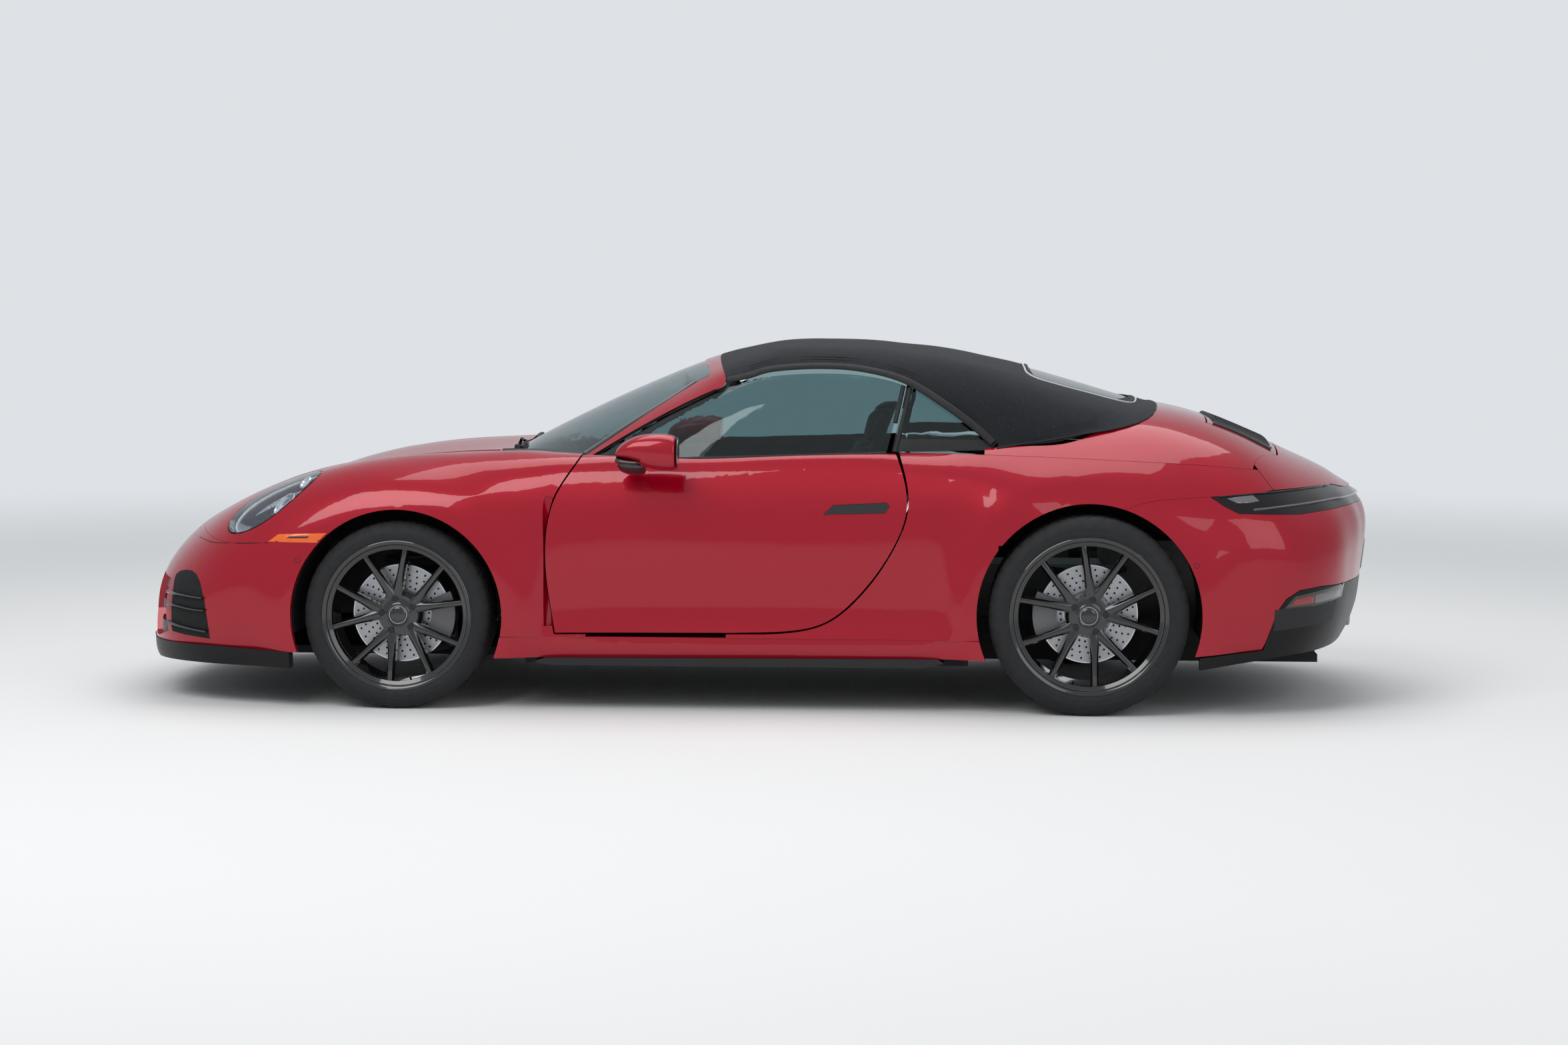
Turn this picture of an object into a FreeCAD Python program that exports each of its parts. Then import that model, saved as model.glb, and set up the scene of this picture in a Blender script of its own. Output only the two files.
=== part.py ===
import FreeCAD, Part
import math
import os

# Two-seat-plus-two convertible car with its soft top closed.
# Millimetres. +X runs from nose to tail, +Y to the car's right, +Z up.
# The origin is on the ground, at the middle of the car's length and width.

V = FreeCAD.Vector

# Driving dimensions
wheelbase = 2450.0
front_overhang = 1040.0
rear_overhang = 1052.0
body_half_width = 926.0
front_track = 1580.0
rear_track = 1556.0
front_tyre_radius = 334.0
rear_tyre_radius = 352.0
front_tyre_width = 245.0
rear_tyre_width = 305.0
front_rim_radius = 258.0
rear_rim_radius = 270.0
front_arch_radius = 378.0
rear_arch_radius = 394.0
disc_radius = 175.0
disc_width = 32.0
king_pin_inset = 62.0

panel_wall = 30.0
roof_wall = 22.0
glass_wall = 5.0
glass_inset = 9.0
ledge_depth = 62.0
door_inner_y = 738.0
door_edge_lean = 0.06
fixed_gap = 0.8
glass_play = 4.0
moving_gap = 6.0
fit_gap = 0.5

floor_bottom = 150.0
floor_top = 178.0
tub_half_width = 706.0
bay_half_width = 478.0
bulkhead_front_x = -800.0
bulkhead_rear_x = 770.0
bulkhead_wall = 26.0

hinge_pin_radius = 3.0
hinge_eye_radius = 5.0
hinge_skin = 9.0
hinge_arm = 16.0
hinge_pin_length = 46.0
hinge_play = 2.0
swing_clearance = 5.4
door_swing_radius = 14.9
door_hinge_heights = (465.0, 630.0)
lid_hinge_y = 520.0

lid_hinge_x = -930.0
rear_hinge_x = 1730.0
rear_hinge_y = 380.0
lid_gap = 7.5
lid_lean = -0.26
lid_level = 605.0
rear_lid_lean = 0.577
rear_lid_level = 1000.0

rim_face_inset = 44.0
spoke_depth = 34.0
disc_hat = 40.5
disc_bore_radius = 31.0
stub_radius = 30.0
stub_reach = 34.5
caliper_gap = 3.0

bulkhead_top = 838.0
post_top = 690.0
post_half_width = 826.0
shelf_height = 640.0
rail_top = 300.0
trunk_wall = 10.0
trunk_front_x = -1990.0
trunk_bottom = 300.0

engine_half_width = 280.0
engine_front_x = 1290.0
engine_rear_x = 1880.0
engine_top = 610.0
tip_radius = 46.0
tip_y = 250.0
tip_z = 310.0

wheel_y = -370.0
wheel_tilt = 23.0
wheel_radius = 178.0

# Where the drawing of the body puts its axles and ends
drawn_front_axle = -1231.0
drawn_rear_axle = 1219.0
drawn_half_length = 2271.0
drawn_half_width = 926.0

length = front_overhang + wheelbase + rear_overhang
front_axle_x = front_overhang - length / 2
rear_axle_x = front_axle_x + wheelbase
nose_x = -length / 2
tail_x = length / 2


def remap(value, source, target):
    """carry a value from one list of marks to another, straight between them"""
    last = len(source) - 2
    i = 0
    while i < last and value > source[i + 1]:
        i += 1
    share = (value - source[i]) / (source[i + 1] - source[i])
    return target[i] + share * (target[i + 1] - target[i])


drawn_marks = (-drawn_half_length, drawn_front_axle, drawn_rear_axle, drawn_half_length)
real_marks = (nose_x, front_axle_x, rear_axle_x, tail_x)
width_scale = body_half_width / drawn_half_width


def X(drawn):
    """place along the car of a station of the drawing"""
    return remap(drawn, drawn_marks, real_marks)


def Y(drawn):
    """place across the car of an offset of the drawing"""
    return drawn * width_scale


class Curve:
    """natural cubic spline through rows of (place, value, value ...)"""

    def __init__(self, rows):
        self.at = [row[0] for row in rows]
        self.rows = [list(row[1:]) for row in rows]
        self.step = [b - a for a, b in zip(self.at, self.at[1:])]
        self.bend = list(zip(*[self.bends(column) for column in zip(*self.rows)]))

    def bends(self, values):
        """second derivatives by elimination, nought at both ends"""
        step = self.step
        count = len(values)
        upper = [0.0] * count
        result = [0.0] * count
        for i in range(1, count - 1):
            slope = (values[i + 1] - values[i]) / step[i] - (values[i] - values[i - 1]) / step[i - 1]
            pivot = 2 * (step[i - 1] + step[i]) - step[i - 1] * upper[i - 1]
            upper[i] = step[i] / pivot
            result[i] = (6 * slope - step[i - 1] * result[i - 1]) / pivot
        for i in range(count - 2, 0, -1):
            result[i] -= upper[i] * result[i + 1]
        return result

    def __call__(self, place):
        place = min(max(place, self.at[0]), self.at[-1])
        i = 0
        while i < len(self.step) - 1 and place > self.at[i + 1]:
            i += 1
        h = self.step[i]
        a = (self.at[i + 1] - place) / h
        b = 1 - a
        c = (a ** 3 - a) * h * h / 6
        d = (b ** 3 - b) * h * h / 6
        rows, bend = self.rows, self.bend
        return [a * p + b * q + c * r + d * s
                for p, q, r, s in zip(rows[i], rows[i + 1], bend[i], bend[i + 1])]


def smooth_max(a, b, blend):
    """the larger of two values, with a rounded change from one to the other"""
    near = max(blend - abs(a - b), 0.0) / blend
    return max(a, b) + near * near * blend / 4


def ease(value, start, end):
    """0 before start, 1 after end, smooth between"""
    share = min(max((value - start) / (end - start), 0.0), 1.0)
    return share * share * (3 - 2 * share)


# Half width of the body side. Columns: station, then the half width at each of these heights
side_heights = (140, 240, 340, 480, 640, 760, 860, 960)
side_table = [
    (-2000, 790, 830, 850, 868, 880, 862, 810, 740),
    (-1650, 850, 878, 890, 900, 903, 880, 822, 750),
    (-1231, 870, 893, 903, 910, 908, 882, 825, 755),
    (-900, 868, 888, 893, 898, 893, 868, 818, 750),
    (-680, 862, 878, 872, 878, 880, 858, 812, 748),
    (0, 858, 878, 858, 866, 873, 852, 806, 745),
    (560, 862, 882, 864, 872, 880, 862, 815, 750),
    (850, 872, 893, 880, 888, 900, 885, 838, 770),
    (1219, 885, 905, 908, 915, 920, 903, 855, 780),
    (1600, 860, 885, 897, 908, 915, 898, 850, 775),
    (1900, 835, 865, 880, 895, 905, 885, 840, 770),
    (2271, 810, 840, 860, 880, 890, 870, 830, 760),
]

# Upper surface. Columns: station, height on the centre line, rise to the wing's crest,
# drop towards the edge by the fourth power and by the eighth
top_table = [
    (-2271, 500, -10, 0, 20),
    (-2140, 588, 0, 0, 40),
    (-2000, 662, 25, 0, 60),
    (-1850, 722, 48, 0, 75),
    (-1650, 782, 58, 0, 80),
    (-1450, 822, 55, 0, 80),
    (-1231, 848, 50, 0, 80),
    (-1000, 874, 38, 0, 70),
    (-850, 890, 25, 0, 55),
    (-600, 900, 8, 0, 30),
    (-200, 904, 0, 0, 28),
    (520, 926, 0, 10, 28),
    (716, 955, 0, 60, 20),
    (885, 1010, 0, 140, 0),
    (1050, 1050, 0, 230, 0),
    (1219, 1072, 0, 300, 0),
    (1450, 1075, 0, 305, 0),
    (1640, 1038, 0, 290, 0),
    (1808, 975, 0, 240, 0),
    (1908, 932, 0, 215, 0),
    (2100, 846, 0, 190, 0),
    (2200, 800, 0, 180, 0),
    (2350, 735, 0, 160, 0),
]
crest_y = 700.0

# Nose and tail on the centre line. Columns: height, station
nose_table = [(100, -2234), (200, -2266), (300, -2286), (400, -2308), (480, -2315),
              (560, -2306), (640, -2279), (760, -2214)]
tail_table = [(100, 2120), (200, 2170), (300, 2222), (400, 2246), (500, 2258),
              (600, 2269), (670, 2271), (730, 2255), (800, 2215), (900, 2140)]

# Rounding between the side and the upper surface. Columns: station, blend
shoulder_table = [(-2271, 300), (-1500, 140), (-900, 110), (-600, 60), (-100, 46),
                  (520, 46), (760, 80), (1100, 130), (1800, 120), (2271, 80)]

# Windscreen, roof and rear window on the centre line. Columns: station, height
roof_table = [(-1100, 780), (-980, 856), (-853, 932), (-700, 1012), (-530, 1094),
              (-360, 1168), (-208, 1228), (-100, 1262), (0, 1287), (100, 1302),
              (220, 1310), (361, 1307), (587, 1290), (812, 1256), (991, 1214),
              (1200, 1155), (1417, 1089), (1510, 1058), (1700, 985)]

# Half width of the cabin at belt height. Columns: station, half width
belt_table = [(-1000, 772), (0, 774), (700, 768), (900, 762), (1130, 735),
              (1287, 690), (1401, 620), (1500, 500)]

side_curve = Curve(side_table)
top_curve = Curve(top_table)
nose_curve = Curve(nose_table)
tail_curve = Curve(tail_table)
shoulder_curve = Curve(shoulder_table)
roof_curve = Curve(roof_table)
belt_curve = Curve(belt_table)

# Swell round each wheel arch. Columns: axle station, wheel height, arch radius, half width at the lip
arch_table = [
    (drawn_front_axle, front_tyre_radius, front_arch_radius, 920.0),
    (drawn_rear_axle, rear_tyre_radius, rear_arch_radius, 926.0),
]
arch_swell_start = 25.0
arch_swell_reach = 95.0
nose_round = 3800.0
tail_round = 3400.0
nose_corner = 330.0
tail_corner = 240.0


def side_width(x, z):
    """half width of the body side at a station and height of the drawing"""
    spline = Curve(list(zip(side_heights, side_curve(x))))
    width = spline(z)[0]
    for axle, height, radius, lip in arch_table:
        away = max(math.hypot(x - axle, z - height) - radius - arch_swell_start, 0.0)
        swell = math.exp(-(away / arch_swell_reach) ** 2)
        lean = 0.00012 * max(z - 500, 0.0) ** 2
        width += (lip - lean - width) * swell
    return width


def top_height(x, y):
    """height of the upper surface at a station and offset of the drawing"""
    y = abs(y)
    ahead = ease(-1000 - x, 0, 800)
    behind = ease(x, 1700, 2100)
    x = x - ahead * y * y / nose_round + behind * y * y / 3000
    centre, crest, fourth, eighth = top_curve(x)
    rise = 0.5 * (1 - math.cos(math.pi * y / crest_y))
    share = y / 900
    return centre + crest * rise - fourth * share ** 4 - eighth * share ** 8


def body_level(x, y, z):
    """about the distance outside the closed body, in the drawing, negative inside"""
    y = abs(y)
    side = y - side_width(x, z)
    nose = (nose_curve(z)[0] + y * y / nose_round - x) * 0.95
    tail = (x - tail_curve(z)[0] + y * y / tail_round) * 0.95
    level = smooth_max(side, nose, nose_corner)
    level = smooth_max(level, tail, tail_corner)
    step = 4.0
    height = top_height(x, y)
    slope_x = (top_height(x + step, y) - height) / step
    slope_y = (top_height(x, y + step) - height) / step
    above = (z - height) / math.sqrt(1 + slope_x ** 2 + slope_y ** 2)
    return smooth_max(level, above, shoulder_curve(x)[0])


def roof_height(x, y):
    """height of windscreen, roof and rear window at a station and offset of the drawing"""
    front = ease(200 - x, 0, 500)
    rear = ease(x, 700, 1300)
    x = x - front * 0.00052 * y * y + rear * 0.00022 * y * y
    return roof_curve(x)[0] - 48 * (y / 600) ** 2


def cabin_level(x, y, z):
    """about the distance outside the glass and soft top, in the drawing, negative inside"""
    y = abs(y)
    rise = z - 890
    side = (y - belt_curve(x)[0] + 0.43 * rise + 0.00035 * rise * abs(rise)) * 0.9
    step = 4.0
    height = roof_height(x, y)
    slope_x = (roof_height(x + step, y) - height) / step
    slope_y = (roof_height(x, y + step) - height) / step
    above = (z - height) / math.sqrt(1 + slope_x ** 2 + slope_y ** 2)
    return smooth_max(side, above, 110.0)


def cast(level_of, origin, direction, level):
    """point where a ray from inside reaches the given level, by false position"""
    def miss(reach):
        point = origin + direction * reach
        return level_of(point.x, point.y, point.z) - level

    near, far = 0.0, 1500.0
    miss_near, miss_far = miss(near), miss(far)
    reach = far
    for _ in range(40):
        reach = (near * miss_far - far * miss_near) / (miss_far - miss_near)
        if min(reach - near, far - reach) < 0.02 * (far - near):
            reach = 0.5 * (near + far)
        error = miss(reach)
        if abs(error) < 0.005:
            break
        if error > 0:
            far, miss_far = reach, error
        else:
            near, miss_near = reach, error
    point = origin + direction * reach
    return V(X(point.x), Y(point.y), point.z)


def body_ray(station, angle, fan=0.0, keel=140.0):
    """ray from the keel line across the car; fan turns it towards nose (-) or tail (+)"""
    turn = math.radians(fan)
    lift = math.radians(angle)
    across = math.cos(turn)
    direction = V(math.sin(turn), -across * math.cos(lift), across * math.sin(lift))
    return V(station, 0, keel), direction


def cabin_ray(station, angle, keel=800.0):
    """ray across the car from a line inside the cabin"""
    lift = math.radians(angle)
    return V(station, 0, keel), V(0, -math.cos(lift), math.sin(lift))


def surface_of(grid):
    surface = Part.BSplineSurface()
    surface.interpolate(grid)
    return surface


def closed(faces):
    """solid inside a set of faces that meet edge to edge"""
    shell = Part.makeShell(faces)
    shell.sewShape()
    solid = Part.Solid(shell)
    if solid.Volume < 0:
        solid.reverse()
    return solid


def slab(outer_grid, inner_grid):
    """solid between two surfaces that have the same rows and columns"""
    outer, inner = surface_of(outer_grid), surface_of(inner_grid)
    faces = [outer.toShape(), inner.toShape()]
    u0, u1, v0, v1 = outer.bounds()
    s0, s1, t0, t1 = inner.bounds()
    edges = [(outer.uIso(u0), inner.uIso(s0)), (outer.uIso(u1), inner.uIso(s1)),
             (outer.vIso(v0), inner.vIso(t0)), (outer.vIso(v1), inner.vIso(t1))]
    for one, other in edges:
        faces.append(Part.makeRuledSurface(one.toShape(), other.toShape()))
    return closed(faces)


def body_slab(stations, angles, wall=panel_wall, outside=0.0, keel=140.0):
    """panel stock of the body; a station is a place, or a pair of a place and a fan angle"""
    grids = []
    for level in (outside, -wall):
        grid = []
        for station in stations:
            place, fan = station if isinstance(station, tuple) else (station, 0.0)
            grid.append([cast(body_level, *body_ray(place, a, fan, keel), level) for a in angles])
        grids.append(grid)
    return slab(*grids)


def cabin_slab(stations, angles, outside=0.0, inside=-roof_wall):
    """stock of the glass and soft top"""
    grids = []
    for level in (outside, inside):
        grid = [[cast(cabin_level, *cabin_ray(s, a), level) for a in angles] for s in stations]
        grids.append(grid)
    return slab(*grids)


def spread(start, end, count):
    return [start + (end - start) * i / (count - 1) for i in range(count)]


def wire_of(runs, lift):
    """closed wire of straight lines and of splines through runs of over two points"""
    edges = []
    for run in runs:
        points = [lift(p) for p in run]
        if len(points) == 2:
            edges.append(Part.makeLine(*points))
        else:
            curve = Part.BSplineCurve()
            curve.interpolate(points)
            edges.append(curve.toShape())
    return Part.Wire(edges)


def runs_of(outline):
    """runs of an outline whose items are corners, or lists of points of one smooth stretch"""
    items = [item if isinstance(item, list) else [item] for item in outline]
    runs = []
    for item, following in zip(items, items[1:] + items[:1]):
        if len(item) > 1:
            runs.append(item)
        if item[-1] != following[0]:
            runs.append([item[-1], following[0]])
    return runs


def grown(face, gap):
    """the face with its outline moved out by a gap, curved stretches as splines"""
    if not gap:
        return face
    edges = []
    for edge in face.makeOffset2D(gap).OuterWire.OrderedEdges:
        if isinstance(edge.Curve, (Part.Line, Part.Circle)):
            edges.append(edge)
            continue
        points = edge.discretize(Number=25)
        curve = Part.BSplineCurve()
        curve.interpolate(points)
        edges.append(curve.toShape())
    return Part.Face(Part.Wire(Part.__sortEdges__(edges)))


def side_prism(outline, y0=-1100.0, y1=-200.0, gap=0.0):
    """solid whose outline (x, z) is drawn from the side"""
    face = Part.Face(wire_of(runs_of(outline), lambda p: V(X(p[0]), Y(y0), p[1])))
    return grown(face, gap).extrude(V(0, Y(y1 - y0), 0))


def plan_prism(outline, z0=100.0, z1=1400.0, gap=0.0, lean=0.0, level=0.0):
    """solid whose outline (x, y) is drawn from above; its walls lean along the car, true at the level"""
    start = lean * (z0 - level)
    face = Part.Face(wire_of(runs_of(outline), lambda p: V(X(p[0]) + start, Y(p[1]), z0)))
    return grown(face, gap).extrude(V(lean * (z1 - z0), 0, z1 - z0))


def leaned(points, lean, level):
    """plan points on the upper surface carried down leaning walls to the level"""
    return [(x - lean * (top_height(x, y) - level), y) for x, y in points]


def front_prism(outline, x0, x1, gap=0.0):
    """solid whose outline (y, z) is drawn from the front"""
    face = Part.Face(wire_of(runs_of(outline), lambda p: V(X(x0), Y(p[0]), p[1])))
    return grown(face, gap).extrude(V(X(x1) - X(x0), 0, 0))


def box(x0, x1, y0, y1, z0, z1):
    return Part.makeBox(x1 - x0, y1 - y0, z1 - z0, V(x0, y0, z0))


def cylinder(radius, start, end):
    axis = end - start
    return Part.makeCylinder(radius, axis.Length, start, axis)


def mirrored(shape):
    return shape.mirror(V(0, 0, 0), V(0, 1, 0))


def both_sides(shape):
    return Part.makeCompound([shape, mirrored(shape)])


def joined(shapes):
    result = shapes[0].fuse(shapes[1:])
    return result.removeSplitter()


def ring(profile, centre, axis=V(0, 1, 0)):
    """solid turned about a wheel's axle from (offset along the axle, radius) points"""
    points = [V(centre.x, centre.y + a, centre.z + r) for a, r in profile]
    wire = Part.makePolygon(points + points[:1])
    return Part.Face(wire).revolve(centre, axis, 360)


nodes = {}


def keep(name, shape):
    solids = shape.Solids
    nodes[name] = solids[0] if len(solids) == 1 else Part.makeCompound(solids)


def keep_pair(name, left):
    keep(name + "_left", left)
    keep(name + "_right", mirrored(left))


# Outlines drawn from the side, (station, height), for the left of the car
door_front_cut = [(-560, 960), (-592, 884), (-662, 770), (-697, 640), (-695, 450), (-668, 276)]
door_rear_cut = [(31, 281), (180, 289), (290, 318), (400, 404), (524, 575), (578, 730), (562, 850), (523, 960)]
door_outline = [door_front_cut, door_rear_cut]
bumper_joint = [(-1440, 596), (-1700, 590), (-1880, 588), (-1995, 619), (-2080, 652)]
quarter_top = [(480, 916), (905, 909), (1376, 890), (1603, 878), (1815, 860)]
tail_joint = [(1300, 700), (1380, 742), (1500, 764), (1640, 772)]

front_arch = cylinder(front_arch_radius, V(front_axle_x, -1000, front_tyre_radius),
                      V(front_axle_x, -600, front_tyre_radius))
rear_arch = cylinder(rear_arch_radius, V(rear_axle_x, -1000, rear_tyre_radius),
                     V(rear_axle_x, -600, rear_tyre_radius))
door_cut = side_prism(door_outline, gap=moving_gap)

# Edges of the front lid from above, (station, offset)
lid_rear_edge = [(-905, 570), (-948, 300), (-962, 0), (-948, -300), (-905, -570)]
lid_side_edge = [(-905, -570), (-1300, -600), (-1750, -548), (-2060, -430)]
lid_front_edge = [(-2060, -430), (-2108, -240), (-2124, 0), (-2108, 240), (-2060, 430)]


def lid_prism(gap):
    """room of the front lid, with front and side walls that lean as the lid rises"""
    left = leaned(lid_side_edge, lid_lean, lid_level)
    front = leaned(lid_front_edge, lid_lean, lid_level)
    right = [(x, -y) for x, y in left[::-1]]
    ahead = plan_prism([lid_rear_edge, (-905, -800), (-2400, -800), (-2400, 800), (-905, 800)], gap=gap)
    around = plan_prism([left, front, right, (-700, 560), (-700, -560)], gap=gap, lean=lid_lean, level=lid_level)
    return ahead.common(around)


lid_cut = lid_prism(lid_gap)


def make_front_fender():
    stock = body_slab([-2110, -2030, -1950, -1860, -1770, -1690, -1620, -1550, -1480, -1400, -1310, -1231,
                       -1150, -1060, -980, -910, -840, -770, -700, -630, -560],
                      [5, 10, 15, 20, 25, 30, 34, 38, 42, 46, 50, 56])
    region = side_prism([bumper_joint, (-2080, 1000), (-540, 1000), (-540, 262), (-900, 262), (-900, 500),
                         (-1440, 500)])
    shape = stock.common(region).cut([front_arch, door_cut, lid_cut, headlight_cut, cowl_region(0.0), door_sweep])
    keep_pair("front_fender", shape)


def make_front_lid():
    stock = body_slab([(-1960, -a) for a in (25, 20, 15, 10, 5)] + [-1960, -1880, -1760, -1640, -1500, -1350,
                                                                    -1200, -1060, -960, -880],
                      [44, 50, 56, 64, 72, 81, 90, 99, 108, 116, 124, 130, 136])
    pocket = lid_pocket()
    keep("front_lid", stock.common(lid_prism(0.0)).cut([pocket, mirrored(pocket)]))


headlight_centre = V(X(-1700), Y(-742), 730)
headlight_axis = V(-0.62, -0.42, 0.66)


def headlight_prism(gap):
    """oval cylinder that the lamp's outline follows, normal to the wing"""
    long_axis = V(0.66, 0.12, 0.74)
    normal = V(headlight_axis).normalize()
    long_axis = (long_axis - normal * long_axis.dot(normal)).normalize()
    ellipse = Part.Ellipse(headlight_centre + long_axis * (192 + gap),
                           headlight_centre + normal.cross(long_axis) * (108 + gap), headlight_centre)
    face = Part.Face(Part.Wire(ellipse.toShape()))
    face.translate(normal * -150)
    return face.extrude(normal * 300)


headlight_cut = headlight_prism(fixed_gap)


def make_headlights():
    stock = body_slab([-1960, -1900, -1820, -1740, -1660, -1580, -1500, -1440],
                      [26, 31, 36, 41, 46, 51, 56], wall=60)
    keep("headlights", both_sides(stock.common(headlight_prism(0)).cut(lid_cut)))


def make_front_bumper():
    fans = [(-1480, 0), (-1560, 0), (-1640, 0), (-1720, 0)] + [(-1760, -a) for a in (0, 8, 16, 24, 32, 40,
            48, 56, 64, 72, 80, 86)]
    stock = body_slab(fans, spread(3, 177, 25))
    region = side_prism([[(-1440, 596), (-1700, 590), (-1880, 588), (-1995, 619), (-2080, 652)],
                         (-2400, 652), (-2400, 212), (-1900, 212), (-1560, 200)], y0=-1000, y1=1000,
                        gap=-fixed_gap)
    intake = side_intake(0.0)
    keep("front_bumper", stock.common(region).cut([front_arch, mirrored(front_arch), lid_cut,
                                                   intake, mirrored(intake), centre_intake(0.0)]))


def side_intake(gap):
    return front_prism([(-690, 250), (-660, 440), (-380, 455), (-350, 300), (-400, 225), (-600, 225)],
                       -2400, -1800, gap)


def centre_intake(gap):
    return front_prism([(-300, 225), (-330, 390), (330, 390), (300, 225)], -2400, -1950, gap)


def make_front_grilles():
    fans = [(-1760, -a) for a in (24, 32, 40, 48, 56, 64, 72, 80, 86)]
    stock = body_slab(fans, spread(3, 177, 19), wall=90, outside=-22)
    left = stock.common(side_intake(-0.4))
    for height in (300, 375):
        left = left.cut(front_prism([(-720, height - 22), (-720, height + 22), (-320, height + 22),
                                     (-320, height - 22)], -2400, -2085))
    keep("front_grilles", Part.makeCompound([left, mirrored(left), stock.common(centre_intake(-0.4))]))


def make_front_lip():
    fans = [(-1600, 0), (-1680, 0)] + [(-1760, -a) for a in (0, 10, 20, 30, 40, 50, 60, 70, 80, 86)]
    stock = body_slab(fans, spread(1, 179, 19), wall=70, outside=4, keel=120)
    region = side_prism([(-2400, 144), (-2400, 212.4), (-1900, 212.4), (-1614, 202.5), (-1614, 144)],
                        y0=-1000, y1=1000)
    keep("front_lip", stock.common(region).cut([front_arch, mirrored(front_arch)]))


def make_quarter():
    stock = body_slab([-120, -40, 60, 160, 260, 350, 440, 520, 600, 680, 760, 830, 900, 980, 1060, 1140,
                       1219, 1300, 1380, 1460, 1540, 1610, 1680, 1760, 1850, 1950],
                      [5, 10, 15, 20, 25, 30, 34, 38, 42, 46, 50, 55, 60])
    region = side_prism([quarter_top, (1864, 793.4), (1820, 783), tail_joint[::-1], (1200, 600), (900, 600),
                         (900, 262), (-60, 262), (-60, 916)])
    panel = stock.common(region)
    sill_stock = body_slab(spread(-900, 900, 16), [0.5, 3, 6, 9, 12], wall=90)
    sill = sill_stock.common(side_prism([(-880, 188), (-880, 262), (880, 262), (880, 196)]))
    shape = panel.fuse(sill).cut([front_arch, rear_arch, door_cut, glass_slot])
    keep_pair("rear_quarter", shape.removeSplitter())


def make_rear_bumper():
    fans = [(1330, 0), (1400, 0), (1470, 0), (1550, 0), (1640, 0)] + [(1720, a) for a in (0, 8, 16, 24, 32, 40,
            48, 56, 64, 72, 80, 86)]
    stock = body_slab(fans, spread(3, 177, 25))
    lower = [(1560, 212), (1828, 235)]
    region = side_prism([tail_joint, (1691, 738), (1737, 715), (1960, 709), (2163, 727), (2300, 727),
                         (2300, 455), (2036, 455), (1956, 445), (1909, 416), (1881, 377), (1828, 235),
                         (1560, 212), (1200, 212)], y0=-1000, y1=1000, gap=-fixed_gap)
    keep("rear_bumper", stock.common(region).cut([rear_arch, mirrored(rear_arch)]))


def make_diffuser():
    fans = [(1590, 0), (1650, 0)] + [(1720, a) for a in (0, 10, 20, 30, 40, 50, 60, 70, 80, 86)]
    stock = body_slab(fans, spread(1, 179, 21), wall=60, keel=130)
    region = side_prism([(1605, 168), (1605, 211), (1829, 234), (1882, 376), (1910, 415), (1957, 444),
                         (2036, 454), (2300, 454), (2300, 230), (1930, 214)], y0=-1000, y1=1000)
    holes = [cylinder(tip_radius + fixed_gap, V(X(2030), side * tip_y, tip_z), V(X(2300), side * tip_y, tip_z))
             for side in (-1, 1)]
    keep("rear_diffuser", stock.common(region).cut([rear_arch, mirrored(rear_arch)] + holes))


def make_tail_light():
    fans = [(1580, 0), (1650, 0)] + [(1720, a) for a in (0, 8, 16, 24, 32, 40, 48, 56, 64, 72, 80, 86)]
    stock = body_slab(fans, spread(18, 162, 25), wall=50, outside=-2)
    region = side_prism([(1642, 772), (1820, 782), (1866, 792.4), (2096, 797.9), (2179, 775.9), (2300, 775.4),
                         (2300, 727), (2163, 727), (1960, 709), (1737, 715), (1691, 738)],
                        y0=-1000, y1=1000)
    keep("tail_light", stock.common(region))


spoiler_front = [(1793, 800), (1800, 720), (1860, 560), (1905, 470), (1908, 300), (1908, 0), (1908, -300),
                 (1905, -470), (1860, -560), (1800, -720), (1793, -800)]
rear_lid_edge = [(1655, 450), (1903, 470), (1903, -470), (1655, -450)]


def rear_lid_prism(gap):
    """room of the engine lid, with front and rear walls that lean as the lid turns"""
    outline = leaned(rear_lid_edge, rear_lid_lean, rear_lid_level)
    return plan_prism(outline, z0=800.0, z1=1100.0, gap=gap, lean=rear_lid_lean, level=rear_lid_level)


def make_spoiler():
    stock = body_slab([1740, 1790, 1840, 1890] + [(1940, a) for a in (0, 5, 10, 15, 20, 25)], spread(30, 150, 25))
    region = side_prism([(1700, 1100), (1794, 892), (1866, 793), (2096, 798.5), (2179, 776.5), (2300, 776),
                         (2300, 1100)], y0=-1000, y1=1000)
    behind = plan_prism([spoiler_front, (1860, -950), (2300, -950), (2300, 950), (1860, 950)])
    keep("spoiler", stock.common(region).common(behind).cut(rear_lid_cut))


def make_top_cover():
    stock = body_slab([820, 900, 980, 1060, 1140, 1220, 1300, 1380, 1460, 1540, 1620, 1700, 1780, 1860, 1930],
                      spread(30, 150, 25))
    above = side_prism([[(480, 917), (905, 910), (1376, 891), (1603, 879), (1830, 859)], (1866, 794),
                        (2000, 794), (2000, 1200), (480, 1200)], y0=-1000, y1=1000)
    ahead = plan_prism([[(x - fixed_gap, y) for x, y in spoiler_front], (1860, -950), (850, -950),
                        (850, 950), (1860, 950)])
    keep("top_cover", stock.common(above).common(ahead).cut([cabin_core, rear_lid_cut]))


rear_lid_cut = rear_lid_prism(lid_gap)


def make_rear_lid():
    stock = body_slab([1600, 1680, 1760, 1840, 1950], spread(52, 128, 13))
    pocket = rear_pocket()
    keep("rear_lid", stock.common(rear_lid_prism(0.0)).cut([pocket, mirrored(pocket)]))


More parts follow.
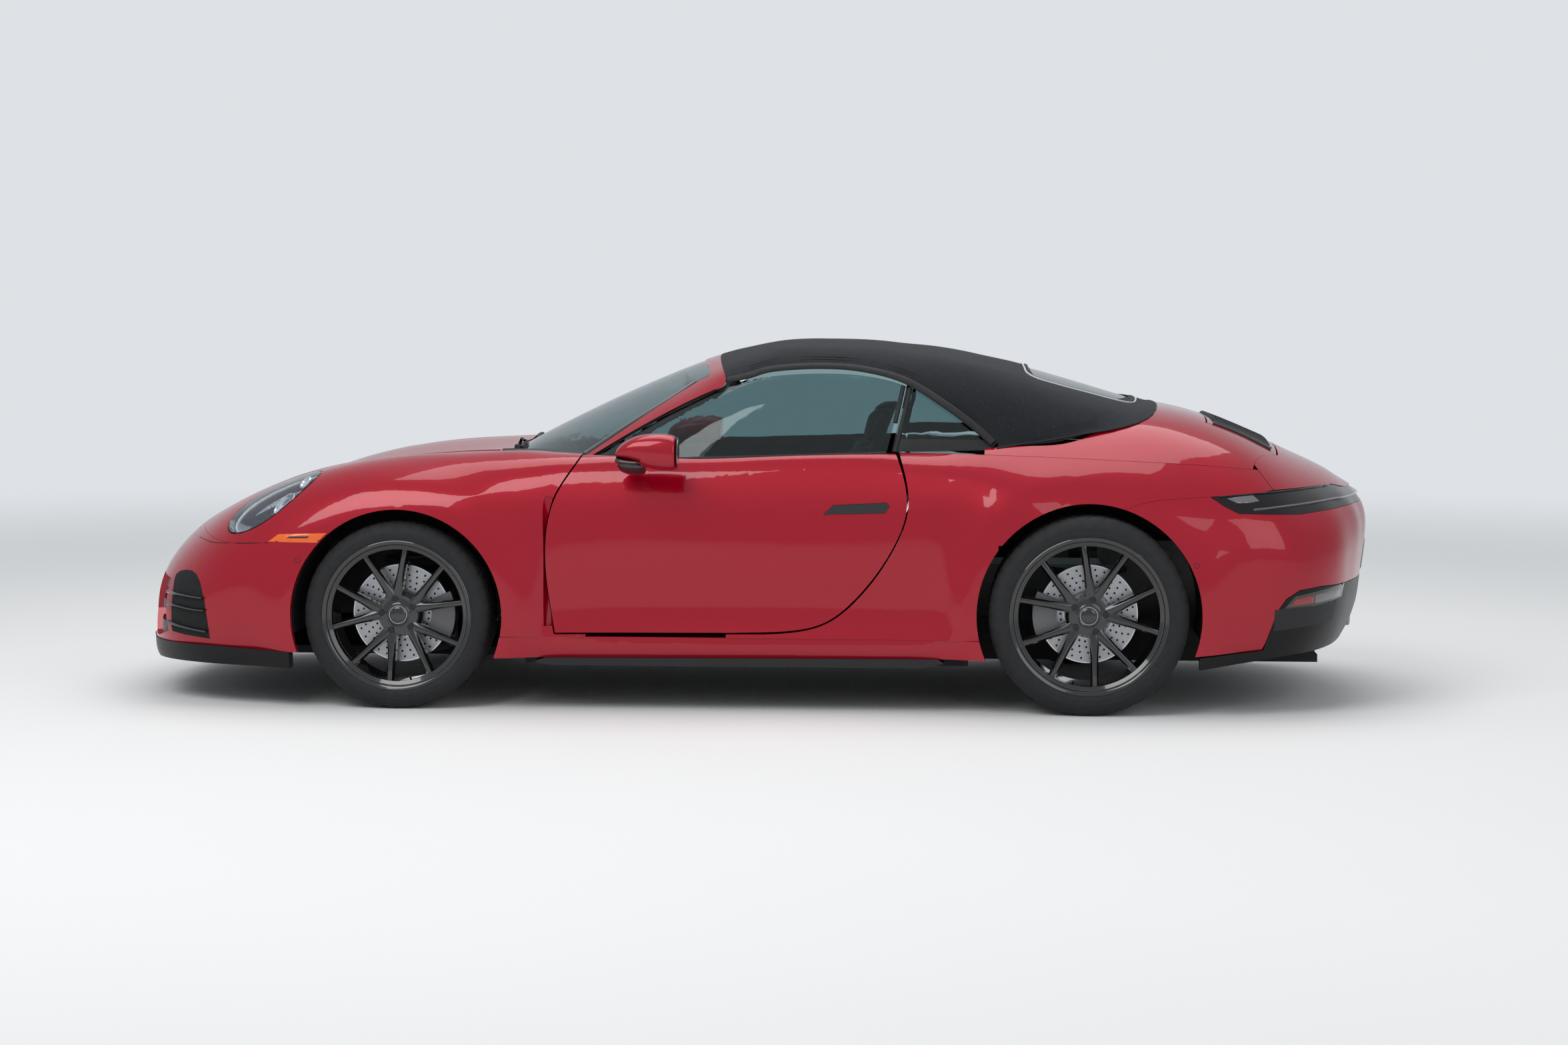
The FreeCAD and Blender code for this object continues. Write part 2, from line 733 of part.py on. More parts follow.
def make_cabin_core():
    """closed solid just outside the glass and soft top, to seat the body panels on"""
    stations, angles = spread(-1060, 1560, 30), spread(0, 180, 25)
    grid = [[cast(cabin_level, *cabin_ray(s, a), 1.0) for a in angles] for s in stations]
    surface = surface_of(grid)
    u0, u1, v0, v1 = surface.bounds()
    ends = []
    for u in (u0, u1):
        edge = surface.uIso(u).toShape()
        chord = Part.makeLine(edge.Vertexes[0].Point, edge.Vertexes[-1].Point)
        ends.append(Part.Face(Part.Wire([edge, chord])))
    low = [surface.vIso(v0).toShape(), surface.vIso(v1).toShape()]
    base = Part.makeRuledSurface(*low)
    return closed([surface.toShape(), base] + ends)


# Cabin outlines drawn from the side, (station, height)
screen_pillar = [(-700, 822), (-616, 875), (-400, 1022), (-180, 1166)]
screen_top = [(-180, 1166), (-152, 1192), (-172, 1212), (-208, 1236)]
header_pillar = [(-640, 846), (-585, 880), (-350, 1020), (-120, 1134)]
header_top = [(-120, 1134), (-84, 1160), (-104, 1208), (-152, 1266)]
glass_top = [(-82, 1149), (85, 1181), (245, 1191), (404, 1185), (563, 1151)]
fabric_edge = [(-84, 1158), (0, 1176), (85, 1200), (245, 1211), (404, 1202), (563, 1162), (706, 1074),
               (814, 995), (880, 936)]
fabric_foot = [(888, 937), (1000, 946), (1130, 960), (1250, 999), (1350, 1046), (1430, 1079), (1475, 1087),
               (1600, 1100)]


def make_windshield_frame():
    stock = cabin_slab(spread(-980, 60, 14), [4, 12, 20, 28, 36, 44, 54, 66, 78, 90,
                                              102, 114, 126, 136, 144, 152, 160, 168, 176], inside=-32)
    keep("windshield_frame", stock.common(frame_band(0.0)).cut(box(-1200, 0, -1000, 1000, 0, 872)))


def frame_band(gap):
    return side_prism([screen_pillar, screen_top, (-240, 1330), (-180, 1330), header_top[::-1],
                       header_pillar[::-1]], y0=-1000, y1=1000, gap=gap)


def make_windshield():
    stock = cabin_slab(spread(-1040, 40, 14), [8, 20, 30, 40, 52, 66, 78, 90,
                                              102, 114, 128, 140, 150, 160, 172], outside=-4, inside=-4 - glass_wall)
    pane = side_prism([[(x - 1, z) for x, z in screen_pillar], [(x - 1, z) for x, z in screen_top],
                       (-240, 1320), (-1100, 1320), (-1100, 822)], y0=-1000, y1=1000)
    keep("windshield", stock.common(pane).common(side_prism([(-1100, 892), (-1100, 1400), (0, 1400), (0, 860),
                                                             (-620, 876), (-800, 892)], y0=-1000, y1=1000)))


def make_soft_top():
    stock = cabin_slab(spread(-220, 1540, 24), spread(4, 176, 25))
    shape = stock.common(fabric_region(0.0)).cut([rear_window_prism(0.0), frame_band(fixed_gap)])
    keep("soft_top", max(shape.Solids, key=lambda solid: solid.Volume))


def fabric_region(gap):
    return side_prism([(-160, 1180), (-240, 1330), (1600, 1330), fabric_foot[::-1], fabric_edge[::-1]],
                      y0=-1000, y1=1000, gap=gap)


def rear_window_prism(gap):
    return plan_prism([[(1030, -400), (1010, 0), (1030, 400)], [(1330, 330), (1390, 0), (1330, -330)]],
                      z0=900, gap=gap)


def make_rear_window():
    stock = cabin_slab(spread(940, 1480, 9), spread(30, 150, 15), outside=-6, inside=-6 - glass_wall)
    keep("rear_window", stock.common(rear_window_prism(-fit_gap)))


def make_side_glass():
    stock = cabin_slab(spread(-700, 1000, 18), [2, 7, 12, 17, 22, 27, 32, 38, 44], outside=-glass_inset,
                       inside=-glass_inset - glass_wall)
    door_pane = side_prism([[(x + 12, z - 5) for x, z in header_pillar[1:]],
                            [(-70, 1151), (85, 1181), (245, 1191), (404, 1185), (560, 1151)],
                            (500, 908), (-540, 872)])
    keep_pair("door_glass", stock.common(door_pane))
    quarter_pane = side_prism([(577, 1180), (900, 1180), (890, 925), (548, 917), (520, 917)])
    keep("quarter_glass", both_sides(stock.common(quarter_pane).cut(fabric_region(fit_gap))))


def make_glass_slot(depth, play=fixed_gap):
    """room round the foot of the side glass, in the door and the wing"""
    return cabin_slab(spread(-640, 960, 17), [2, 7, 12, 17, 22], outside=-glass_inset + play,
                      inside=-glass_inset - depth)


def door_rear_limit():
    """room ahead of the door's rear edge, which leans so that the edge clears the wing as the door swings"""
    outline = [(-1200, 960), (-1200, 240), [(-60, 279.6), (31, 282.1), (180, 290.2)] + door_rear_cut[2:]]
    start = hinge_y - 100
    wire = wire_of(runs_of(outline), lambda p: V(p[0] + 100 * door_edge_lean, start, p[1]))
    return Part.Face(wire).extrude(V(-400 * door_edge_lean, 400, 0))


def make_door():
    stock = body_slab([-800, -740, -680, -600, -500, -380, -240, -100, 40, 180, 320, 440, 540, 620, 700],
                      [5, 10, 15, 20, 25, 30, 34, 37, 40, 43, 46], wall=150)
    ahead = side_prism([door_front_cut, (900, 287.2), (900, 960)])
    shape = stock.common(ahead).common(door_rear_limit()).common(box(-1000, 1000, -1100, -door_inner_y, 0, 1400))
    shape = shape.cut([hinge_pocket(height) for height in door_hinge_heights])
    keep_pair("door", shape.cut([glass_ledge, side_prism(handle_pocket, y0=-1000, y1=-845)]))


handle_outline = [(285, 703), (319, 734), (505, 744), (516, 733), (500, 709)]
handle_pocket = [(283, 702.2), (318.5, 734.9), (505.5, 744.9), (517.2, 733.2), (500.6, 708.2)]


def make_door_handle():
    stock = body_slab([250, 290, 340, 390, 440, 490, 540], [28, 30, 32, 34, 36], wall=60, outside=4)
    keep_pair("door_handle", stock.common(side_prism(handle_outline, y0=-1000, y1=-846)))


def make_mirror():
    centre = V(X(-318), Y(-952), 918)
    ball = Part.makeSphere(1.0)
    scale = FreeCAD.Matrix()
    scale.A11, scale.A22, scale.A33 = 124, 66, 74
    shell = ball.transformGeometry(scale)
    shell.translate(centre)
    shell = shell.cut(box(centre.x + 96, centre.x + 200, -1200, -800, 700, 1200))
    foot = Part.makeCone(34, 22, 120, V(X(-345), Y(-806), 862), V(0, -0.93, 0.36))
    door_skin = body_slab([-430, -390, -350, -310, -270], [36, 38, 40, 42, 44, 46, 48], wall=80, outside=0.4)
    keep_pair("mirror", joined([shell, foot]).cut(door_skin))


def make_wheel(name, side, axle_x, tyre_radius, tyre_width, rim_radius, track, phase):
    y = side * track / 2
    centre = V(axle_x, y, tyre_radius)
    half = tyre_width / 2
    tyre = ring([(-half + 28, tyre_radius), (half - 28, tyre_radius), (half - 6, tyre_radius - 20),
                 (half, tyre_radius - 50), (half - 14, rim_radius), (-half + 14, rim_radius),
                 (-half, tyre_radius - 50), (-half + 6, tyre_radius - 20)], centre)
    keep("tyre_" + name, tyre)
    out = side
    wide = half - 16
    barrel = ring([(out * wide, rim_radius - 0.3), (-out * wide, rim_radius - 0.3), (-out * wide, rim_radius - 14),
                   (out * (wide - 8), rim_radius - 22), (out * wide, rim_radius - 10)], centre)
    hub_face = out * (half - rim_face_inset)
    hub_back = hub_face - out * spoke_depth
    hub = ring([(hub_face, 0.01), (hub_face, 70), (hub_back, 82), (hub_back, 0.01)], centre)
    spokes = []
    for i in range(10):
        angle = math.radians(36 * i + phase)
        lug = math.radians(36 * i + phase + (12 if i % 2 else -12))
        inner = V(math.cos(lug) * 62, 0, math.sin(lug) * 62)
        outer = V(math.cos(angle) * (rim_radius - 12), 0, math.sin(angle) * (rim_radius - 12))
        along = (outer - inner).normalize()
        across = V(-along.z, 0, along.x)
        corners = [inner - across * 17, outer - across * 9, outer + across * 9, inner + across * 17]
        base = V(axle_x, y + hub_face, tyre_radius)
        flat = Part.Face(Part.makePolygon([base + c for c in corners + corners[:1]]))
        spokes.append(flat.extrude(V(0, -out * spoke_depth, 0)))
    keep("rim_" + name, joined([barrel, hub] + spokes))
    face = V(axle_x, side * disc_face(track, tyre_width), tyre_radius)
    disc = ring([(0, disc_bore_radius), (0, disc_radius), (-out * disc_width, disc_radius),
                 (-out * disc_width, disc_bore_radius)], face)
    hat = ring([(out * disc_hat, disc_bore_radius), (out * disc_hat, 78), (0, 78), (0, disc_bore_radius)], face)
    keep("disc_" + name, joined([disc, hat]))


def disc_face(track, tyre_width):
    """distance of a brake disc's outer face from the middle of the car"""
    return track / 2 + tyre_width / 2 - rim_face_inset - spoke_depth - fit_gap - disc_hat


def make_floor():
    tunnel = box(bulkhead_front_x + bulkhead_wall, bulkhead_rear_x, -110, 110, floor_top, 330)
    floor = joined([
        box(bulkhead_front_x, bulkhead_rear_x + bulkhead_wall, -tub_half_width, tub_half_width,
            floor_bottom, floor_top),
        box(X(-2060), bulkhead_front_x, -bay_half_width, bay_half_width, floor_bottom, floor_top),
        box(bulkhead_rear_x, X(2060), -bay_half_width, bay_half_width, floor_bottom, floor_top),
        box(bulkhead_front_x, bulkhead_front_x + bulkhead_wall, -tub_half_width, tub_half_width,
            floor_bottom, bulkhead_top),
        box(bulkhead_rear_x, bulkhead_rear_x + bulkhead_wall, -tub_half_width, tub_half_width,
            floor_bottom, shelf_height),
        tunnel,
    ] + [box(bulkhead_rear_x, X(2050), min(y, y - 10 * math.copysign(1, y)), max(y, y - 10 * math.copysign(1, y)),
             floor_top, rail_top) for y in (-bay_half_width, bay_half_width)])
    keep("floor_pan", floor)


trunk_rear_x = bulkhead_front_x - 0.4


def make_front_trunk():
    """open-topped luggage tub under the front lid"""
    half = bay_half_width
    outside = [(trunk_front_x, trunk_bottom), (trunk_front_x, 596), (trunk_rear_x, bulkhead_top),
               (trunk_rear_x, trunk_bottom)]
    w = trunk_wall
    inside = [(trunk_front_x + w, trunk_bottom + w), (trunk_front_x + w, 900), (trunk_rear_x - w, 900),
              (trunk_rear_x - w, trunk_bottom + w)]

    def bath(points, reach):
        corners = [V(x, -reach, z) for x, z in points]
        return Part.Face(Part.makePolygon(corners + corners[:1])).extrude(V(0, 2 * reach, 0))
    legs = [box(x, x + 60, -half, half, floor_top, trunk_bottom) for x in (trunk_front_x, trunk_rear_x - 60)]
    keep("front_trunk", joined([bath(outside, half).cut(bath(inside, half - w))] + legs))


def make_wheel_liners():
    """arched liner over each wheel, with its flat wall beside the bay"""
    pieces = []
    for axle_x, height, radius, reach in ((front_axle_x, front_tyre_radius, front_arch_radius, 832),
                                          (rear_axle_x, rear_tyre_radius, rear_arch_radius, 845)):
        inner = bay_half_width + 0.4
        start, end = V(axle_x, -reach, height), V(axle_x, -inner, height)
        arch = cylinder(radius + 12, start, end).cut(cylinder(radius + 8, start, end))
        wall = cylinder(radius + 12, V(axle_x, -inner - 4, height), end)
        wall = wall.cut(box(axle_x - 500, axle_x + 500, -inner - 5, -inner + 1, -200, height + 236))
        arch = arch.cut(box(axle_x - 500, axle_x + 500, -1000, 0, -200, 264))
        pieces.append(joined([arch, wall]))
    keep("wheel_liners", Part.makeCompound(pieces + [mirrored(piece) for piece in pieces]))


king_y = -(front_track / 2 - king_pin_inset)
hinge_x = X(-691)
hinge_y = -(Y(882.5) - hinge_skin)
post_rear_x = X(-712)


def make_hinge_posts():
    """posts behind the wings that carry the doors on their pins"""
    post = box(bulkhead_front_x + 4, post_rear_x, -post_half_width, -tub_half_width - 0.4, 264, post_top)
    parts = [post]
    for height in door_hinge_heights:
        low, high = height - hinge_arm / 2, height + hinge_arm / 2
        parts.append(box(post_rear_x - 1, hinge_x + 6, -834, -808, low, high))
        parts.append(box(hinge_x - hinge_eye_radius, hinge_x + hinge_eye_radius, hinge_y, -830, low, high))
        parts.append(cylinder(hinge_eye_radius, V(hinge_x, hinge_y, low), V(hinge_x, hinge_y, high)))
        parts.append(cylinder(hinge_pin_radius, V(hinge_x, hinge_y, height - hinge_pin_length / 2),
                              V(hinge_x, hinge_y, height + hinge_pin_length / 2)))
    keep("hinge_posts", both_sides(joined(parts)))


def hinge_pocket(height):
    """room in the door round one hinge's arm, and the bore for its pin"""
    half = hinge_arm / 2 + hinge_play
    eye = hinge_eye_radius + fit_gap
    room = box(hinge_x - 40, hinge_x + 14, hinge_y, -700, height - half, height + half)
    room = room.fuse(cylinder(eye, V(hinge_x, hinge_y, height - half), V(hinge_x, hinge_y, height + half)))
    room = room.fuse(box(hinge_x - 40, hinge_x, hinge_y - eye, hinge_y, height - half, height + half))
    reach = hinge_pin_length / 2 + 1
    return room.fuse(cylinder(hinge_pin_radius + fit_gap, V(hinge_x, hinge_y, height - reach),
                              V(hinge_x, hinge_y, height + reach)))


lid_hinge_z = top_height(lid_hinge_x, lid_hinge_y) - hinge_skin


def make_lid_hinges():
    """arms from the bulkhead that carry the front lid on its pins"""
    low, high = lid_hinge_y - hinge_arm / 2, lid_hinge_y + hinge_arm / 2
    parts = []
    pin_y = (lid_hinge_y - hinge_pin_length / 2, lid_hinge_y + hinge_pin_length / 2)
    arm = [(lid_hinge_x - hinge_eye_radius, lid_hinge_z), (lid_hinge_x - hinge_eye_radius, lid_hinge_z - 60),
           (bulkhead_front_x - 0.4, 770), (bulkhead_front_x - 0.4, 800), (lid_hinge_x + 45, lid_hinge_z - 56),
           (lid_hinge_x + 25, lid_hinge_z - 45),
           (lid_hinge_x + hinge_eye_radius, lid_hinge_z - 30), (lid_hinge_x + hinge_eye_radius, lid_hinge_z)]
    corners = [V(x, -high, z) for x, z in arm]
    parts.append(Part.Face(Part.makePolygon(corners + corners[:1])).extrude(V(0, hinge_arm, 0)))
    parts.append(cylinder(hinge_eye_radius, V(lid_hinge_x, -high, lid_hinge_z), V(lid_hinge_x, -low, lid_hinge_z)))
    parts.append(cylinder(hinge_pin_radius, V(lid_hinge_x, -pin_y[1], lid_hinge_z),
                          V(lid_hinge_x, -pin_y[0], lid_hinge_z)))
    keep("lid_hinges", both_sides(joined(parts)))


def lid_pocket():
    half = hinge_arm / 2 + hinge_play
    eye = hinge_eye_radius + fit_gap
    room = box(lid_hinge_x - 14, lid_hinge_x + 40, -lid_hinge_y - half, -lid_hinge_y + half,
               lid_hinge_z - 80, lid_hinge_z)
    room = room.fuse(cylinder(eye, V(lid_hinge_x, -lid_hinge_y - half, lid_hinge_z),
                              V(lid_hinge_x, -lid_hinge_y + half, lid_hinge_z)))
    room = room.fuse(box(lid_hinge_x, lid_hinge_x + 40, -lid_hinge_y - half, -lid_hinge_y + half,
                         lid_hinge_z, lid_hinge_z + eye))
    reach = hinge_pin_length / 2 + 1
    return room.fuse(cylinder(hinge_pin_radius + fit_gap, V(lid_hinge_x, -lid_hinge_y - reach, lid_hinge_z),
                              V(lid_hinge_x, -lid_hinge_y + reach, lid_hinge_z)))


rear_hinge_z = top_height(rear_hinge_x, rear_hinge_y) - hinge_skin


def make_rear_hinges():
    """arms over the engine that carry the engine lid on its pins, and the beam between them"""
    low, high = rear_hinge_y - hinge_arm / 2, rear_hinge_y + hinge_arm / 2
    beam_front, beam_rear = rear_axle_x + 242, rear_axle_x + 292
    beam_top = engine_top + 35
    arm = [(rear_hinge_x + hinge_eye_radius, rear_hinge_z), (rear_hinge_x + hinge_eye_radius, rear_hinge_z - 110),
           (beam_rear, beam_top - 5), (beam_front, beam_top - 5), (beam_front, beam_top + 20),
           (rear_hinge_x - hinge_eye_radius, rear_hinge_z - 75), (rear_hinge_x - hinge_eye_radius, rear_hinge_z)]
    corners = [V(x, -high, z) for x, z in arm]
    parts = [Part.Face(Part.makePolygon(corners + corners[:1])).extrude(V(0, hinge_arm, 0))]
    parts.append(cylinder(hinge_eye_radius, V(rear_hinge_x, -high, rear_hinge_z), V(rear_hinge_x, -low, rear_hinge_z)))
    parts.append(cylinder(hinge_pin_radius, V(rear_hinge_x, -rear_hinge_y - hinge_pin_length / 2, rear_hinge_z),
                          V(rear_hinge_x, -rear_hinge_y + hinge_pin_length / 2, rear_hinge_z)))
    arms = joined(parts)
    beam = box(beam_front, beam_rear, -bay_half_width, bay_half_width, engine_top + 8, beam_top)
    return joined([arms, mirrored(arms), beam])


def rear_pocket():
    half = hinge_arm / 2 + hinge_play
    eye = hinge_eye_radius + fit_gap
    x, y, z = rear_hinge_x, rear_hinge_y, rear_hinge_z
    room = box(x - 40, x + 14, -y - half, -y + half, z - 80, z)
    room = room.fuse(cylinder(eye, V(x, -y - half, z), V(x, -y + half, z)))
    room = room.fuse(box(x - 40, x, -y - half, -y + half, z, z + eye))
    reach = hinge_pin_length / 2 + 1
    return room.fuse(cylinder(hinge_pin_radius + fit_gap, V(x, -y - reach, z), V(x, -y + reach, z)))


def make_cowl():
    stock = body_slab([-960, -900, -840, -780, -720, -660, -590], spread(44, 136, 19))
    keep("cowl", stock.common(cowl_region(-fixed_gap)).cut([cabin_core, lid_cut, lid_cut.translated(V(1.8, 0, 0))]))


def cowl_region(gap):
    return plan_prism([(-895, 600), (-960, 300), (-975, 0), (-960, -300), (-895, -600), (-690, -690),
                       (-560, -690), (-560, 690), (-690, 690)], gap=gap)


def make_knuckle(side_x, axle_x, height, face):
    """upright with its stub axle and brake caliper, left side; face is the brake disc's outer face"""
    upright = box(axle_x - 24, axle_x + 24, face + 38, face + 82, height - 134, height + 150)
    stub = cylinder(stub_radius, V(axle_x, face + 44, height), V(axle_x, face - stub_reach, height))
    flange = cylinder(60, V(axle_x, face + 38, height), V(axle_x, face + 82, height))
    inner, outer = face + 54, face - 30
    start, end = V(axle_x, inner, height), V(axle_x, outer, height)
    block = cylinder(disc_radius + 22, start, end).cut(cylinder(112, start, end))
    wedge = [V(axle_x, inner, height), V(axle_x + side_x * 260, inner, height - 118),
             V(axle_x + side_x * 260, inner, height + 118)]
    block = block.common(Part.Face(Part.makePolygon(wedge + wedge[:1])).extrude(V(0, outer - inner, 0)))
    slot = cylinder(disc_radius + caliper_gap, V(axle_x, face - caliper_gap, height),
                    V(axle_x, face + disc_width + caliper_gap, height))
    bracket = box(min(axle_x, axle_x + side_x * 150), max(axle_x, axle_x + side_x * 150), face + 42, face + 56,
                  height - 40, height + 40)
    return joined([upright, stub, flange, block.cut(slot), bracket])


def make_knuckles():
    face = -disc_face(front_track, front_tyre_width)
    keep_pair("knuckle", make_knuckle(1, front_axle_x, front_tyre_radius, face))


def make_front_suspension():
    """lower and upper arms from the bay to the steered uprights, and the steering rack"""
    z0, z1 = front_tyre_radius - 134, front_tyre_radius + 150
    parts = []
    for low, stud_from, stud_to in ((z0 - 30, z0 - 5, z0 - fit_gap), (z1 + 6, z1 + fit_gap, z1 + 8)):
        arm = [V(front_axle_x - 120, -bay_half_width - 0.4, low), V(front_axle_x + 120, -bay_half_width - 0.4, low),
               V(front_axle_x + 20, king_y - 12, low), V(front_axle_x - 20, king_y - 12, low)]
        plate = Part.Face(Part.makePolygon(arm + arm[:1])).extrude(V(0, 0, 24))
        window = [V(front_axle_x - 70, -bay_half_width - 40, low), V(front_axle_x + 70, -bay_half_width - 40, low),
                  V(front_axle_x + 14, king_y + 70, low), V(front_axle_x - 14, king_y + 70, low)]
        plate = plate.cut(Part.Face(Part.makePolygon(window + window[:1])).extrude(V(0, 0, 24)))
        stud = cylinder(12, V(front_axle_x, king_y, stud_from), V(front_axle_x, king_y, stud_to))
        parts.append(joined([plate, stud]))
    block = box(front_axle_x - 140, front_axle_x + 140, -bay_half_width, -bay_half_width + 60, floor_top + 0.4, z1 + 40)
    block = block.common(box(front_axle_x - 140, front_axle_x + 140, -bay_half_width, -bay_half_width + 60,
                             floor_top + 0.4, trunk_bottom - 0.4))
    keep("front_suspension", both_sides(joined(parts + [block])))


def make_rear_suspension():
    """arms, half shafts, uprights and calipers of the driven wheels"""
    face = -disc_face(rear_track, rear_tyre_width)
    upright = make_knuckle(-1, rear_axle_x, rear_tyre_radius, face)
    y = face
    z = rear_tyre_radius
    shaft = cylinder(16, V(rear_axle_x, -engine_half_width - 0.6, z), V(rear_axle_x, y + 64, z))
    boot_in = Part.makeCone(30, 48, 60, V(rear_axle_x, y + 160, z), V(0, -1, 0))
    parts = [upright, shaft, boot_in]
    for low in (z - 134, z + 120):
        arm = [V(rear_axle_x - 150, -bay_half_width - 0.4, low), V(rear_axle_x + 150, -bay_half_width - 0.4, low),
               V(rear_axle_x + 20, y + 64, low), V(rear_axle_x - 20, y + 64, low)]
        parts.append(Part.Face(Part.makePolygon(arm + arm[:1])).extrude(V(0, 0, 24)))
    keep("rear_suspension", both_sides(joined(parts)))


def make_engine():
    block = box(X(engine_front_x), X(engine_rear_x), -engine_half_width, engine_half_width,
                floor_top + 0.4, engine_top)
    gearbox = box(X(820), X(engine_front_x), -150, 150, floor_top + 0.4, 470)
    side = box(rear_axle_x - 60, rear_axle_x + 72, -engine_half_width, engine_half_width, 270, 440)
    keep("engine", joined([block, gearbox, side]))


def make_dashboard():
    profile = [(-774 + 0.4, 620), (-774 + 0.4, 830), (-700, 862), (-520, 866), (-452, 850), (-430, 800),
               (-440, 730), (-500, 640), (-600, 560), (-680, 540)]
    corners = [V(x, -690, z) for x, z in profile]
    shell = Part.Face(Part.makePolygon(corners + corners[:1])).extrude(V(0, 1380, 0))
    hood = cylinder(130, V(-530, wheel_y, 800), V(-425, wheel_y, 790)).common(box(-600, -400, -900, 0, 830, 1000))
    console = box(-600, 180, -105, 105, 330.4, 640).common(side_prism([(-600, 300), (-600, 640), (-480, 640),
                                                                      (-300, 440), (200, 420), (200, 300)],
                                                                     y0=-200, y1=200))
    column = cylinder(26, wheel_centre + wheel_axis * 235, wheel_centre + wheel_axis * (24 + fit_gap))
    keep("dashboard", joined([shell, hood, console, column]))


wheel_centre = V(-300, wheel_y, 745)
wheel_axis = V(-math.cos(math.radians(wheel_tilt)), 0, -math.sin(math.radians(wheel_tilt)))


def make_steering_wheel():
    rim = Part.makeTorus(wheel_radius, 15, V(0, 0, 0), V(0, 0, 1))
    hub = Part.makeCylinder(52, 44, V(0, 0, -24))
    arms = []
    for angle in (0, 180, 270):
        arm = Part.makeBox(wheel_radius, 34, 10, V(0, -17, -14))
        arm.rotate(V(0, 0, 0), V(0, 0, 1), angle)
        arms.append(arm)
    wheel = joined([rim, hub] + arms)
    wheel.rotate(V(0, 0, 0), V(0, 0, 1), 90)
    wheel.rotate(V(0, 0, 0), V(0, 1, 0), 90 - wheel_tilt)
    wheel.translate(wheel_centre)
    keep("steering_wheel", wheel)


def make_seats():
    side_view = [(-270, 330), (-270, 440), (-200, 470), (180, 430), (240, 460), (400, 1000), (440, 1070),
                 (500, 1075), (520, 1040), (400, 560), (320, 300), (250, 240), (-200, 240)]
    wire = [V(x, -620, z) for x, z in side_view]
    seat = Part.Face(Part.makePolygon(wire + wire[:1])).extrude(V(0, 480, 0))
    rail = box(-200, 200, -600, -560, floor_top + 0.4, 240).fuse(box(-200, 200, -240, -200, floor_top + 0.4, 240))
    seat = joined([seat, rail])
    bench = box(560, bulkhead_rear_x - 0.4, -560, -130, floor_top + 0.4, 420)
    keep("seats", Part.makeCompound([seat, mirrored(seat), bench, mirrored(bench)]))


def make_skirts():
    left = side_prism([(-742, 176), (-700, 188.3), (690, 194.6), (712, 180), (640, 163), (-690, 163)], y0=-898, y1=-800)
    keep("side_skirts", both_sides(left))


def make_exhaust():
    box_piece = box(X(1930), X(2060), -330, 330, floor_top + 0.4, 380)
    tips = []
    for side in (-1, 1):
        start, end = V(X(2030), side * tip_y, tip_z), V(X(2195), side * tip_y, tip_z)
        tips.append(cylinder(tip_radius, start, end).cut(cylinder(tip_radius - 4, start + V(40, 0, 0), end)))
    keep("exhaust", joined([box_piece] + tips))


cabin_core = make_cabin_core()
glass_slot = make_glass_slot(glass_wall + fixed_gap)
glass_ledge = make_glass_slot(ledge_depth, glass_play)
door_sweep = cylinder(door_swing_radius + swing_clearance, V(hinge_x, hinge_y, 300), V(hinge_x, hinge_y, 760))


def build():
    make_floor()
    make_front_trunk()
    make_wheel_liners()
    make_hinge_posts()
    make_lid_hinges()
    make_cowl()
    make_knuckles()
    make_front_suspension()
    make_rear_suspension()
    make_engine()
    make_dashboard()
    make_steering_wheel()
    make_seats()
    make_skirts()
    make_exhaust()
    keep("rear_hinges", make_rear_hinges())
    make_front_fender()
    make_front_lid()
    make_headlights()
    make_front_bumper()
    make_front_grilles()
    make_front_lip()
    make_quarter()
    make_rear_bumper()
    make_diffuser()
    make_tail_light()
    make_spoiler()
    make_top_cover()
    make_rear_lid()
    make_windshield_frame()
    make_windshield()
    make_soft_top()
    make_rear_window()
    make_side_glass()
    make_door()
    make_door_handle()
    make_mirror()
    for name, side in (("left", -1), ("right", 1)):
        make_wheel("front_" + name, side, front_axle_x, front_tyre_radius, front_tyre_width,
                   front_rim_radius, front_track, 47.0)
        make_wheel("rear_" + name, side, rear_axle_x, rear_tyre_radius, rear_tyre_width,
                   rear_rim_radius, rear_track, 23.0)


build()
os.makedirs("parts", exist_ok=True)
for name, shape in nodes.items():
    shape.exportStep("parts/" + name + ".step")
    print(name, len(shape.Solids), round(shape.Volume / 1e6, 2), shape.isValid())
print("front lid hinge", lid_hinge_x, lid_hinge_z, "rear lid hinge", rear_hinge_x, rear_hinge_z)
print("door hinge", hinge_x, hinge_y, "king pin", front_axle_x, king_y)
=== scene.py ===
import math

import bmesh
import bpy
from mathutils import Matrix, Vector
from mathutils.bvhtree import BVHTree
from mathutils.geometry import delaunay_2d_cdt
from mathutils.kdtree import KDTree


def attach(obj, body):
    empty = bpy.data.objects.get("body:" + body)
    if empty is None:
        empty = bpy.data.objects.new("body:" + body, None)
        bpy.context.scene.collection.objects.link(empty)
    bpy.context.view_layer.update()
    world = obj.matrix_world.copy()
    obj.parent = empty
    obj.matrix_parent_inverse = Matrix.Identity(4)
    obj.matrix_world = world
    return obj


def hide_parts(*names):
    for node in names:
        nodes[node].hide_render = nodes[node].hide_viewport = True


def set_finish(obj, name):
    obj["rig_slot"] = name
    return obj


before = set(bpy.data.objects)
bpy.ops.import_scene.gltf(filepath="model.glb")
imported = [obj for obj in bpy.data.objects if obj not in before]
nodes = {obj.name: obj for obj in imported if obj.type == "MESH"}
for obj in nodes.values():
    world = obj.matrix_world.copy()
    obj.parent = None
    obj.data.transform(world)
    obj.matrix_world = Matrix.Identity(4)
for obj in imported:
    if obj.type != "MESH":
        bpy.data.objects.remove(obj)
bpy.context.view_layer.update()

FRONT_AXLE = -1.231
REAR_AXLE = 1.219
FRONT_RADIUS = 0.334
REAR_RADIUS = 0.352
SIDES = ("left", "right")


